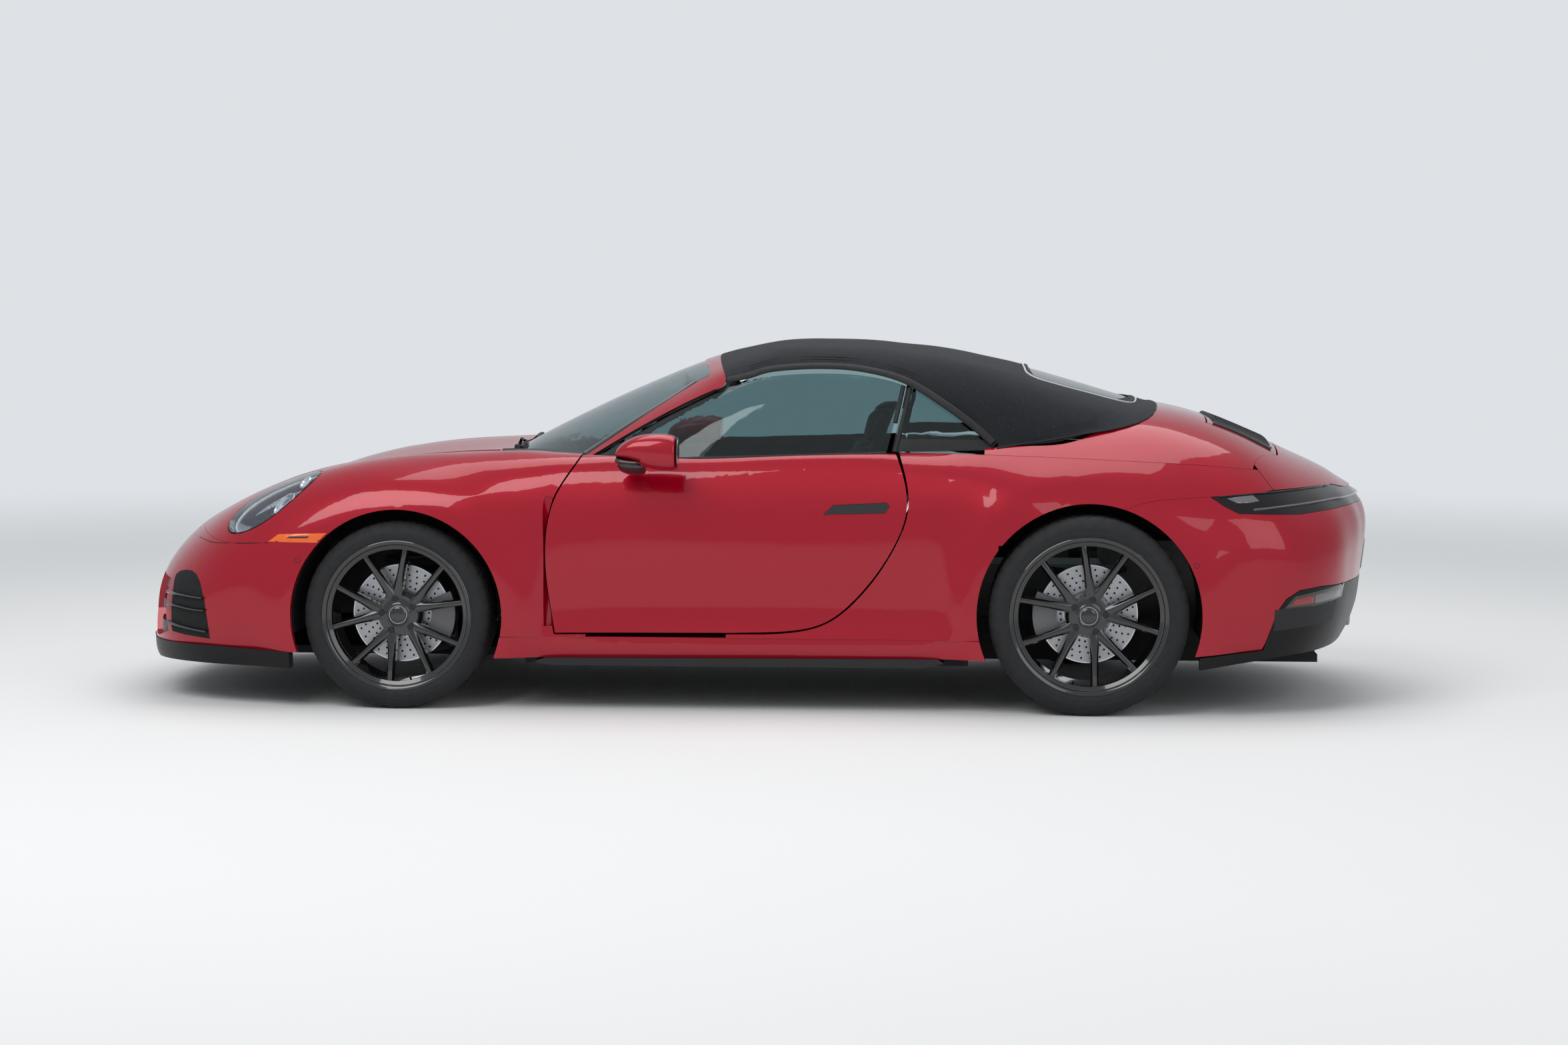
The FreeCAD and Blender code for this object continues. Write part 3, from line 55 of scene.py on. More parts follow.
def sight():
    """the camera's own axes: across, above and forward"""
    yaw, pitch, roll = math.radians(3.47), math.radians(4.19), math.radians(0.137)
    level = Vector((-math.sin(yaw), math.cos(yaw), 0))
    forward = level * math.cos(pitch) - Vector((0, 0, math.sin(pitch)))
    right = Vector((math.cos(yaw), math.sin(yaw), 0))
    up = Vector((0, 0, math.cos(pitch))) + level * math.sin(pitch)
    across = right * math.cos(roll) + up * math.sin(roll)
    above = up * math.cos(roll) - right * math.sin(roll)
    return across, above, forward


EYE = Vector((0.816, -11.933, 1.485))
PHOTO_WIDTH = 2352
PHOTO_HEIGHT = 1568
FOCUS = 4725.5
SENSOR = 36.0
CROP_SCALE = 2.297
ACROSS, ABOVE, FORWARD = sight()


# Materials

def linear(r, g, b):
    """colour as written, from 0 to 255, to the shader's own scale"""
    out = []
    for value in (r, g, b):
        c = value / 255
        out.append(c / 12.92 if c <= 0.04045 else ((c + 0.055) / 1.055) ** 2.4)
    return (*out, 1.0)


class Look:
    """a procedural material, with its colour mottled, its gloss uneven and its surface grained"""

    def __init__(self, name, color, rough=0.5, metallic=0.0, coat=0.0, vary=0.08, vary_scale=6.0,
                 grain=0.0, grain_scale=900.0, rough_vary=0.15, rough_scale=40.0, transmission=0.0,
                 ior=1.45, sheen=0.0, specular=0.5):
        self.material = bpy.data.materials.new(name)
        self.material.use_nodes = True
        self.tree = self.material.node_tree
        self.nodes = self.tree.nodes
        self.shader = self.nodes["Principled BSDF"]
        self.coords = self.nodes.new("ShaderNodeTexCoord")
        sock = self.shader.inputs
        sock["Metallic"].default_value = metallic
        sock["Coat Weight"].default_value = coat
        sock["Coat Roughness"].default_value = 0.03
        sock["Transmission Weight"].default_value = transmission
        sock["IOR"].default_value = ior
        sock["Sheen Weight"].default_value = sheen
        sock["Specular IOR Level"].default_value = specular
        dark = [c * (1 - vary) for c in color[:3]] + [1.0]
        light = [min(1.0, c * (1 + vary) + 0.002 * vary) for c in color[:3]] + [1.0]
        self.mottle = self.mix(self.noise(vary_scale, 4.0), dark, light)
        self.tree.links.new(self.mottle, sock["Base Color"])
        span = self.nodes.new("ShaderNodeMapRange")
        span.inputs["To Min"].default_value = max(0.0, rough * (1 - rough_vary))
        span.inputs["To Max"].default_value = min(1.0, rough * (1 + rough_vary) + 0.01)
        self.tree.links.new(self.noise(rough_scale, 3.0), span.inputs["Value"])
        self.tree.links.new(span.outputs["Result"], sock["Roughness"])
        if grain:
            self.bump(self.noise(grain_scale, 2.0), grain)

    def noise(self, scale, detail):
        node = self.nodes.new("ShaderNodeTexNoise")
        node.inputs["Scale"].default_value = scale
        node.inputs["Detail"].default_value = detail
        self.tree.links.new(self.coords.outputs["Object"], node.inputs["Vector"])
        return node.outputs["Fac"]

    def mix(self, factor, a, b):
        node = self.nodes.new("ShaderNodeMix")
        node.data_type = "RGBA"
        self.tree.links.new(factor, node.inputs["Factor"])
        for socket, value in ((node.inputs[6], a), (node.inputs[7], b)):
            if hasattr(value, "is_linked"):
                self.tree.links.new(value, socket)
            else:
                socket.default_value = value
        return node.outputs[2]

    def math(self, kind, a, b=None):
        node = self.nodes.new("ShaderNodeMath")
        node.operation = kind
        for socket, value in ((node.inputs[0], a), (node.inputs[1], b)):
            if value is None:
                continue
            if hasattr(value, "is_linked"):
                self.tree.links.new(value, socket)
            else:
                socket.default_value = value
        return node.outputs[0]

    def wave(self, direction, scale):
        node = self.nodes.new("ShaderNodeTexWave")
        node.bands_direction = direction
        node.inputs["Scale"].default_value = scale
        node.inputs["Distortion"].default_value = 0.4
        self.tree.links.new(self.coords.outputs["Object"], node.inputs["Vector"])
        return node.outputs["Fac"]

    def bump(self, height, strength, distance=0.0006):
        node = self.nodes.new("ShaderNodeBump")
        node.inputs["Strength"].default_value = strength
        node.inputs["Distance"].default_value = distance
        self.tree.links.new(height, node.inputs["Height"])
        self.tree.links.new(node.outputs["Normal"], self.shader.inputs["Normal"])

    def speckle(self, scale, level, color):
        """small spots of another colour, such as flakes, dust or lint"""
        spots = self.math("GREATER_THAN", self.noise(scale, 1.0), level)
        self.mottle = self.mix(spots, self.mottle, color)
        self.tree.links.new(self.mottle, self.shader.inputs["Base Color"])
        return self


def weave(look, pitch, strength):
    """threads that cross, as a bump"""
    scale = 1.0 / pitch / 3.14
    along = look.wave("X", scale)
    across = look.math("MAXIMUM", look.wave("Y", scale), look.wave("Z", scale))
    cloth = look.math("MULTIPLY", along, across)
    look.bump(cloth, strength, 0.0009)
    return look


paint = Look(
    "crimson_paint", linear(160, 0, 30), rough=0.3, metallic=0.2, coat=0.85, vary=0.05, specular=0.08,
    vary_scale=1.4, rough_vary=0.2, grain=0.01, grain_scale=60.0)
paint.speckle(2600.0, 0.66, linear(176, 8, 36))
fabric = Look(
    "top_fabric", linear(25, 26, 31), rough=0.95, vary=0.2, vary_scale=7.0, sheen=0.12, specular=0.25)
weave(fabric, 0.0016, 0.8).speckle(260.0, 0.74, linear(86, 86, 92))
piping = Look("piping", linear(112, 112, 118), rough=0.6, vary=0.1, grain=0.4, grain_scale=1400.0)
binding = Look("light_piping", linear(206, 208, 212), rough=0.5, vary=0.08, grain=0.4, grain_scale=1400.0)
black_gloss = Look(
    "black_gloss", linear(13, 13, 15), rough=0.12, coat=1.0, vary=0.2, grain=0.01, grain_scale=300.0)
black_satin = Look("black_satin", linear(24, 24, 26), rough=0.5, vary=0.15, grain=0.25, grain_scale=1500.0)
black_low = Look(
    "black_low", linear(12, 12, 14), rough=0.34, specular=0.3, vary=0.2, grain=0.08, grain_scale=900.0)
black_rough = Look("black_rough", linear(19, 19, 20), rough=0.85, vary=0.25, grain=0.5, grain_scale=700.0)
seal = Look("rubber_seal", linear(17, 17, 18), rough=0.62, vary=0.18, grain=0.2, grain_scale=900.0)
rubber = Look(
    "tyre_rubber", linear(25, 26, 28), rough=0.72, vary=0.16, vary_scale=22.0, grain=0.5, grain_scale=420.0)
rubber.speckle(520.0, 0.7, linear(46, 45, 44))
rim_black = Look(
    "rim_black", linear(27, 27, 28), rough=0.16, metallic=0.15, coat=1.0, vary=0.15, grain=0.02,
    grain_scale=200.0)
dark_steel = Look(
    "dark_steel", linear(58, 58, 60), rough=0.3, metallic=0.8, vary=0.12, grain=0.1, grain_scale=700.0)
steel = Look(
    "bright_steel", linear(196, 197, 200), rough=0.22, metallic=1.0, vary=0.06, grain=0.06,
    grain_scale=800.0)
disc_metal = Look(
    "ground_disc", linear(176, 177, 180), rough=0.34, metallic=0.9, vary=0.12, vary_scale=60.0,
    rough_scale=300.0, grain=0.3, grain_scale=900.0)
cast = Look(
    "cast_metal", linear(122, 122, 124), rough=0.55, metallic=0.7, vary=0.14, grain=0.6, grain_scale=260.0)
caliper_black = Look(
    "caliper_black", linear(24, 24, 26), rough=0.3, coat=0.6, vary=0.15, grain=0.1, grain_scale=400.0)
underside = Look("underside", linear(34, 34, 36), rough=0.8, vary=0.2, grain=0.5, grain_scale=300.0)
leather = Look(
    "grained_leather", linear(30, 29, 30), rough=0.55, vary=0.16, grain=0.6, grain_scale=620.0, sheen=0.1)
carpet = Look(
    "carpet", linear(22, 22, 24), rough=0.95, vary=0.3, vary_scale=30.0, grain=1.0, grain_scale=900.0,
    sheen=0.2)
glass = Look(
    "tinted_glass", linear(150, 176, 178), rough=0.008, vary=0.03, vary_scale=1.0, transmission=1.0,
    ior=1.42)
dark_glass = Look("dark_glass", linear(20, 24, 27), rough=0.02, coat=1.0, vary=0.12)
clear = Look("clear_lens", linear(240, 243, 246), rough=0.01, vary=0.02, transmission=1.0, ior=1.3)
lamp_dark = Look("lamp_dark", linear(52, 56, 64), rough=0.16, metallic=0.8, coat=1.0, vary=0.15)
lamp_bright = Look(
    "lamp_bright", linear(226, 229, 233), rough=0.12, metallic=0.9, vary=0.05, grain=0.15,
    grain_scale=500.0)
lamp_white = Look(
    "lamp_white", linear(230, 234, 238), rough=0.3, vary=0.04, grain=0.3, grain_scale=900.0, coat=0.6)
amber = Look(
    "amber_lens", linear(236, 98, 12), rough=0.12, coat=1.0, vary=0.1, vary_scale=50.0, grain=0.5,
    grain_scale=330.0)
red_lens = Look(
    "red_lens", linear(142, 8, 16), rough=0.12, coat=1.0, vary=0.1, vary_scale=50.0, grain=0.5,
    grain_scale=330.0)
smoked = Look(
    "smoked_lens", linear(15, 12, 14), rough=0.16, coat=0.35, specular=0.3, vary=0.15, vary_scale=20.0)
grey_lens = Look(
    "grey_lens", linear(104, 100, 104), rough=0.16, coat=1.0, vary=0.12, vary_scale=70.0, grain=0.5,
    grain_scale=260.0)
plate = Look(
    "blank_plate", linear(214, 214, 210), rough=0.4, vary=0.05, grain=0.15, grain_scale=400.0, coat=0.3)


def dress(name, look):
    ob = nodes[name]
    ob.data.materials.clear()
    ob.data.materials.append(look.material)


for names, look in (
        ("front_lid front_bumper rear_bumper rear_lid spoiler top_cover windshield_frame", paint),
        ("cowl side_skirts front_trunk lid_hinges rear_hinges hinge_posts", black_satin),
        ("front_lip front_grilles rear_diffuser", black_low),
        ("wheel_liners floor_pan", underside),
        ("engine front_suspension rear_suspension", cast),
        ("exhaust", steel),
        ("dashboard steering_wheel seats", leather),
        ("windshield quarter_glass rear_window", glass),
        ("headlights", lamp_dark),
        ("tail_light", smoked),
        ("soft_top", fabric)):
    for name in names.split():
        dress(name, look)
for side in SIDES:
    for name, look in (
            ("front_fender", paint), ("rear_quarter", paint), ("door", paint), ("door_glass", glass),
            ("door_handle", black_gloss), ("mirror", paint), ("knuckle", cast), ("tyre_front", rubber),
            ("tyre_rear", rubber), ("rim_front", rim_black), ("rim_rear", rim_black),
            ("disc_front", disc_metal), ("disc_rear", disc_metal)):
        dress(name + "_" + side, look)


# Mesh helpers

SHARP = math.radians(38)


def placed(name, mesh, material, body, slot=None, sharp=SHARP):
    """a mesh as a piece that rides on a body"""
    ob = bpy.data.objects.new(name, mesh)
    bpy.context.collection.objects.link(ob)
    mesh.materials.append(material)
    mesh.shade_smooth()
    mesh.set_sharp_from_angle(angle=sharp)
    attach(ob, body)
    if slot:
        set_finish(ob, slot)
    return ob


def recalculated(mesh, weld=0.0):
    """faces turned outwards, after doubled points are welded"""
    work = bmesh.new()
    work.from_mesh(mesh)
    if weld:
        bmesh.ops.remove_doubles(work, verts=work.verts, dist=weld)
    bmesh.ops.recalc_face_normals(work, faces=work.faces)
    work.to_mesh(mesh)
    work.free()


def make_object(name, points, faces, look, body, slot=None):
    mesh = bpy.data.meshes.new(name)
    mesh.from_pydata([tuple(p) for p in points], [], [tuple(f) for f in faces])
    recalculated(mesh)
    return placed(name, mesh, look.material, body, slot)


def turns(count):
    """even angles round a circle"""
    return [2 * math.pi * k / count for k in range(count)]


def squared(value, power):
    """a sine or cosine bent towards a box"""
    return math.copysign(abs(value) ** power, value)


def bands(rows, size, around=True, wrap=False):
    """faces between rows of points; around closes each row, wrap joins the last row to the first"""
    faces = []
    for i in range(rows if wrap else rows - 1):
        j = (i + 1) % rows
        faces.extend((i * size + k, i * size + (k + 1) % size, j * size + (k + 1) % size, j * size + k)
                     for k in range(size if around else size - 1))
    return faces


def caps(rows, size):
    """the two end faces of a stack of rows"""
    return [tuple(range(size)), tuple(range((rows - 1) * size, rows * size))]


def flipped(ob, name, body):
    """the same piece on the other side of the car"""
    mesh = ob.data.copy()
    mesh.transform(Matrix.Scale(-1, 4, (0, 1, 0)))
    mesh.flip_normals()
    other = bpy.data.objects.new(name, mesh)
    bpy.context.collection.objects.link(other)
    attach(other, body)
    if "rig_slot" in ob:
        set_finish(other, ob["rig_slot"])
    return other


def both(ob, body):
    """adds the right-hand twin of a left-hand piece; body is its name with left in it, or one for both"""
    return flipped(ob, ob.name.replace("_left", "") + "_right", body.replace("left", "right"))


def tree_of(*names):
    points = []
    faces = []
    for name in names:
        mesh = nodes[name].data
        base = len(points)
        points.extend(v.co.copy() for v in mesh.vertices)
        faces.extend([base + i for i in p.vertices] for p in mesh.polygons)
    return BVHTree.FromPolygons(points, faces)


VIEWS = {
    "photo": (ACROSS, ABOVE, FORWARD),
    "side": (Vector((1, 0, 0)), Vector((0, 0, 1)), Vector((0, 1, 0))),
    "inner": (Vector((1, 0, 0)), Vector((0, 0, 1)), Vector((0, -1, 0))),
    "top": (Vector((1, 0, 0)), Vector((0, 1, 0)), Vector((0, 0, -1))),
    "front": (Vector((0, 1, 0)), Vector((0, 0, 1)), Vector((1, 0, 0))),
    "rear": (Vector((0, 1, 0)), Vector((0, 0, 1)), Vector((-1, 0, 0))),
}


RAY_START = 3.0


def drop(tree, view, a, b):
    """where a ray through a place of a view meets the surface, with the normal there; millimetres in, or the
    photograph's own pixels for the view called photo"""
    if view == "photo":
        origin = EYE
        right, down = (a - PHOTO_WIDTH / 2) / FOCUS, (b - PHOTO_HEIGHT / 2) / FOCUS
        d = (FORWARD + ACROSS * right - ABOVE * down).normalized()
    else:
        u, v, d = VIEWS[view] if isinstance(view, str) else view
        origin = u * (a / 1000) + v * (b / 1000) - d * RAY_START
    point, normal, _, _ = tree.ray_cast(origin, d)
    if point is None:
        return None
    if normal.dot(d) > 0:
        normal = -normal
    return point, normal


def smooth_run(points, step, closed=False):
    """points of a smooth curve through given ones"""
    count = len(points)
    out = []
    spans = count if closed else count - 1
    for i in range(spans):
        p1, p2 = points[i], points[(i + 1) % count]
        p0 = points[i - 1] if closed or i else p1
        p3 = points[(i + 2) % count] if closed or i + 2 < count else p2
        length = math.dist(p1, p2)
        parts = max(1, round(length / step))
        for k in range(parts):
            t = k / parts
            out.append(tuple(
                0.5 * (2 * b + (c - a) * t + (2 * a - 5 * b + 4 * c - d) * t * t
                       + (3 * b - a - 3 * c + d) * t ** 3)
                for a, b, c, d in zip(p0, p1, p2, p3)))
    if not closed:
        out.append(tuple(points[-1]))
    return out


def straight_run(points, step, closed=False):
    out = []
    count = len(points)
    for i in range(count if closed else count - 1):
        p, q = points[i], points[(i + 1) % count]
        parts = max(1, round(math.dist(p, q) / step))
        out.extend(tuple(a + (b - a) * k / parts for a, b in zip(p, q)) for k in range(parts))
    if not closed:
        out.append(tuple(points[-1]))
    return out


def inside(x, y, ring):
    hit = False
    for (x0, y0), (x1, y1) in zip(ring, ring[1:] + ring[:1]):
        if (y0 > y) != (y1 > y) and x < (x1 - x0) * (y - y0) / (y1 - y0) + x0:
            hit = not hit
    return hit


def decal(name, tree, view, outline, look, body, lift=1.5, depth=4.0, cell=20.0, round_edge=0.3, slot=None,
          sharp=True):
    """a panel that follows the surface inside an outline; lift and depth in millimetres"""
    ring = straight_run(outline, cell * 0.6, True) if sharp else smooth_run(outline, cell * 0.6, True)
    rim = len(ring)
    flat = [Vector(p) for p in ring]
    edges = [(i, (i + 1) % rim) for i in range(rim)]
    xs = [p[0] for p in ring]
    ys = [p[1] for p in ring]
    x = min(xs) + cell / 2
    while x < max(xs):
        y = min(ys) + cell / 2
        while y < max(ys):
            if inside(x, y, ring) and min(math.dist((x, y), tuple(p)) for p in flat[:rim]) > cell * 0.45:
                flat.append(Vector((x, y)))
            y += cell
        x += cell
    points, _, faces, _, _, _ = delaunay_2d_cdt(flat, edges, [], 1, 1e-5)
    kept = []
    for face in faces:
        cx = sum(points[i][0] for i in face) / len(face)
        cy = sum(points[i][1] for i in face) / len(face)
        if inside(cx, cy, ring):
            kept.append(face)
    hits = [drop(tree, view, p[0], p[1]) for p in points]
    uses = {}
    for face in kept:
        for i, j in zip(face, list(face[1:]) + [face[0]]):
            uses.setdefault((min(i, j), max(i, j)), []).append((i, j))
    border = [pair[0] for pair in uses.values() if len(pair) == 1]
    edge_points = {i for pair in border for i in pair}
    u, v, d = VIEWS[view] if isinstance(view, str) else view
    top = []
    low = []
    for i, p in enumerate(points):
        hit = hits[i]
        if hit is None:
            k = min((k for k, h in enumerate(hits) if h), key=lambda k: (points[k] - p).length)
            near = hits[k]
            shift = (p[0] - points[k][0], p[1] - points[k][1])
            scale = (near[0] - EYE).dot(FORWARD) / FOCUS if view == "photo" else 0.001
            rise = -shift[1] if view == "photo" else shift[1]
            hit = (near[0] + u * shift[0] * scale + v * rise * scale, near[1])
        point, normal = hit
        drop_edge = min(round_edge * depth, max(0.0, lift - 0.6)) if i in edge_points else 0.0
        top.append(point + normal * ((lift - drop_edge) / 1000))
        low.append(point + normal * ((lift - depth) / 1000))
    count = len(points)
    all_faces = [tuple(f) for f in kept] + [tuple(count + i for i in reversed(f)) for f in kept]
    all_faces += [(i, j, count + j, count + i) for i, j in border]
    return make_object(name, top + low, all_faces, look, body, slot)


def sweep(name, points, normals, section, look, body, closed=False, slot=None):
    """a profile carried along a line; the profile's places are (sideways, outward) in metres"""
    verts = []
    count = len(points)
    size = len(section)
    for i, p in enumerate(points):
        before = points[i - 1] if closed or i else p
        after = points[(i + 1) % count] if closed or i + 1 < count else p
        t = (after - before).normalized()
        n = normals[i]
        n = (n - t * n.dot(t)).normalized()
        s = t.cross(n)
        verts.extend(p + s * a + n * b for a, b in section)
    faces = bands(count, size, True, closed) + ([] if closed else caps(count, size))
    return make_object(name, verts, faces, look, body, slot)


def oval(width, height, count=10, rise=0.0):
    return [(width / 2 * math.cos(a), rise + height / 2 * math.sin(a)) for a in turns(count)]


def struck(tree, view, path):
    """the places of a path where the surface is met"""
    hits = [drop(tree, view, *p) for p in path]
    return [h for h in hits if h]


def strip(name, tree, view, path, width, height, look, body, lift=0.0, step=14.0):
    """a bead, seal or moulding laid on the surface along a line of a view; sizes in millimetres"""
    hits = struck(tree, view, smooth_run(path, step))
    points = [h[0] for h in hits]
    normals = [h[1] for h in hits]
    soft = []
    for i in range(len(normals)):
        near = normals[max(0, i - 2):i + 3]
        soft.append(sum(near, Vector()).normalized())
    return sweep(name, points, soft, oval(width / 1000, height / 1000, 10, lift / 1000), look, body)


def tube(name, path, radius, look, body, segments=12, step=0.01, flat=1.0):
    run = [Vector(p) for p in smooth_run(path, step)]
    up = Vector((0, 0, 1)) if abs((run[-1] - run[0]).normalized().z) < 0.9 else Vector((1, 0, 0))
    return sweep(name, run, [up] * len(run), oval(2 * radius, 2 * radius * flat, segments), look, body)


def lathe(name, profile, origin, axis, look, body, segments=96, slot=None, closed_profile=False):
    """profile of (radius, distance along the axis) turned round it; metres"""
    axis = Vector(axis).normalized()
    side = axis.orthogonal().normalized()
    other = axis.cross(side)
    origin = Vector(origin)
    verts = []
    for a in turns(segments):
        spoke = side * math.cos(a) + other * math.sin(a)
        verts.extend(origin + spoke * r + axis * h for r, h in profile)
    size = len(profile)
    faces = bands(segments, size, closed_profile, True)
    if not closed_profile:
        for end in (0, size - 1):
            if profile[end][0] > 1e-6:
                faces.append(tuple(k * size + end for k in range(segments)))
    ob = make_object(name, verts, faces, look, body, slot)
    recalculated(ob.data, weld=1e-6)
    return ob


def solid(name, rings, look, body, levels=2, slot=None):
    """smooth closed form through a stack of rings of equal count; metres"""
    size = len(rings[0])
    verts = [Vector(p) for ring in rings for p in ring]
    faces = bands(len(rings), size) + caps(len(rings), size)
    return subdivide(make_object(name, verts, faces, look, body, slot), levels)


def subdivide(ob, levels):
    modifier = ob.modifiers.new("sub", "SUBSURF")
    modifier.levels = levels
    modifier.render_levels = levels
    return baked(ob)


def baked(ob):
    """the piece with its modifiers applied"""
    mesh = bpy.data.meshes.new_from_object(ob.evaluated_get(bpy.context.evaluated_depsgraph_get()))
    ob.modifiers.clear()
    old = ob.data
    ob.data = mesh
    bpy.data.meshes.remove(old)
    mesh.shade_smooth()
    return ob


def slab_box(name, low, high, look, body, bevel=0.004):
    """a block with rounded edges"""
    mesh = bpy.data.meshes.new(name)
    work = bmesh.new()
    bmesh.ops.create_cube(work, size=1.0)
    for v in work.verts:
        v.co = Vector([low[i] + (v.co[i] + 0.5) * (high[i] - low[i]) for i in range(3)])
    bmesh.ops.bevel(work, geom=work.edges[:], offset=bevel, segments=3, profile=0.6, affect="EDGES")
    work.to_mesh(mesh)
    work.free()
    return placed(name, mesh, look.material, body, sharp=math.radians(40))


def joined(name, pieces, body):
    """one piece out of several of the same look"""
    points = []
    faces = []
    for piece in pieces:
        base = len(points)
        points.extend(v.co.copy() for v in piece.data.vertices)
        faces.extend([base + i for i in p.vertices] for p in piece.data.polygons)
    mesh = bpy.data.meshes.new(name)
    mesh.from_pydata([tuple(p) for p in points], [], faces)
    ob = placed(name, mesh, pieces[0].data.materials[0], body)
    for piece in pieces:
        bpy.data.objects.remove(piece)
    return ob


# Camera, light and floor

def make_stage():
    camera_data = bpy.data.cameras.new("camera")
    camera_data.sensor_width = SENSOR
    camera_data.lens = SENSOR * FOCUS / PHOTO_WIDTH
    camera = bpy.data.objects.new("camera", camera_data)
    bpy.context.collection.objects.link(camera)
    turn = Matrix((ACROSS, ABOVE, -FORWARD)).transposed()
    camera.matrix_world = Matrix.Translation(EYE) @ turn.to_4x4()
    bpy.context.scene.camera = camera

    reach = 120.0
    mesh = bpy.data.meshes.new("studio_floor")
    mesh.from_pydata(
        [(-reach, -reach, 0), (reach, -reach, 0), (reach, reach, 0), (-reach, reach, 0)], [],
        [(0, 1, 2, 3)])
    floor = bpy.data.objects.new("studio_floor", mesh)
    bpy.context.collection.objects.link(floor)
    look = Look("studio_paper", linear(238, 238, 236), rough=0.9, vary=0.015, vary_scale=0.6)
    mesh.materials.append(look.material)
    far_tone = linear(222, 225, 229)

    def shows(tree):
        """1 for rays that see the background: straight, through glass, and in part by reflection"""
        rays = tree.nodes.new("ShaderNodeLightPath")
        part = tree.nodes.new("ShaderNodeMath")
        part.operation = "MULTIPLY"
        part.inputs[1].default_value = 0.4
        tree.links.new(rays.outputs["Is Glossy Ray"], part.inputs[0])
        out = part.outputs[0]
        for kind in ("Is Camera Ray", "Is Transmission Ray"):
            most = tree.nodes.new("ShaderNodeMath")
            most.operation = "MAXIMUM"
            tree.links.new(out, most.inputs[0])
            tree.links.new(rays.outputs[kind], most.inputs[1])
            out = most.outputs[0]
        return out

    size_node = look.nodes.new("ShaderNodeVectorMath")
    size_node.operation = "LENGTH"
    look.tree.links.new(look.coords.outputs["Object"], size_node.inputs[0])
    rise = look.nodes.new("ShaderNodeMapRange")
    rise.interpolation_type = "SMOOTHSTEP"
    rise.inputs["From Min"].default_value = 4.0
    rise.inputs["From Max"].default_value = 13.0
    look.tree.links.new(size_node.outputs["Value"], rise.inputs["Value"])
    pale = look.nodes.new("ShaderNodeEmission")
    pale.inputs["Color"].default_value = far_tone
    blend = look.nodes.new("ShaderNodeMixShader")
    look.tree.links.new(look.math("MULTIPLY", shows(look.tree), rise.outputs["Result"]), blend.inputs[0])
    look.tree.links.new(look.shader.outputs["BSDF"], blend.inputs[1])
    look.tree.links.new(pale.outputs["Emission"], blend.inputs[2])
    look.tree.links.new(blend.outputs["Shader"], look.nodes["Material Output"].inputs["Surface"])

    world = bpy.data.worlds.new("studio_air")
    bpy.context.scene.world = world
    world.use_nodes = True
    air = world.node_tree
    back = air.nodes["Background"]
    back.inputs["Color"].default_value = linear(214, 219, 226)
    back.inputs["Strength"].default_value = 0.60
    distance = air.nodes.new("ShaderNodeBackground")
    distance.inputs["Color"].default_value = far_tone
    choice = air.nodes.new("ShaderNodeMixShader")
    air.links.new(shows(air), choice.inputs[0])
    air.links.new(back.outputs[0], choice.inputs[1])
    air.links.new(distance.outputs[0], choice.inputs[2])
    air.links.new(choice.outputs[0], air.nodes["World Output"].inputs["Surface"])
    for name, place, size, power, aim in (
            ("key_light", (-3.5, -6.0, 7.0), 5.0, 330.0, (0, 0, 0.6)),
            ("fill_light", (5.5, -7.5, 4.0), 5.0, 110.0, (0.5, 0, 0.6)),
            ("top_light", (0.5, 1.5, 7.5), 6.0, 260.0, (0, 0, 0.6))):
        data = bpy.data.lights.new(name, "AREA")
        data.shape = "SQUARE"
        data.size = size
        data.energy = power
        lamp = bpy.data.objects.new(name, data)
        bpy.context.collection.objects.link(lamp)
        lamp.location = place
        lamp.rotation_euler = (Vector(aim) - Vector(place)).to_track_quat("-Z", "Y").to_euler()
    bpy.context.scene.view_settings.view_transform = "Standard"


make_stage()


# Wheels

RIM_INSET = 0.044
SPOKE_DEPTH = 0.034
DISC_GAP = 0.0005
DISC_HAT = 0.0405


def ray(angle):
    """the direction at an angle in the plane of a wheel on the left"""
    return Vector((math.cos(angle), 0, math.sin(angle)))


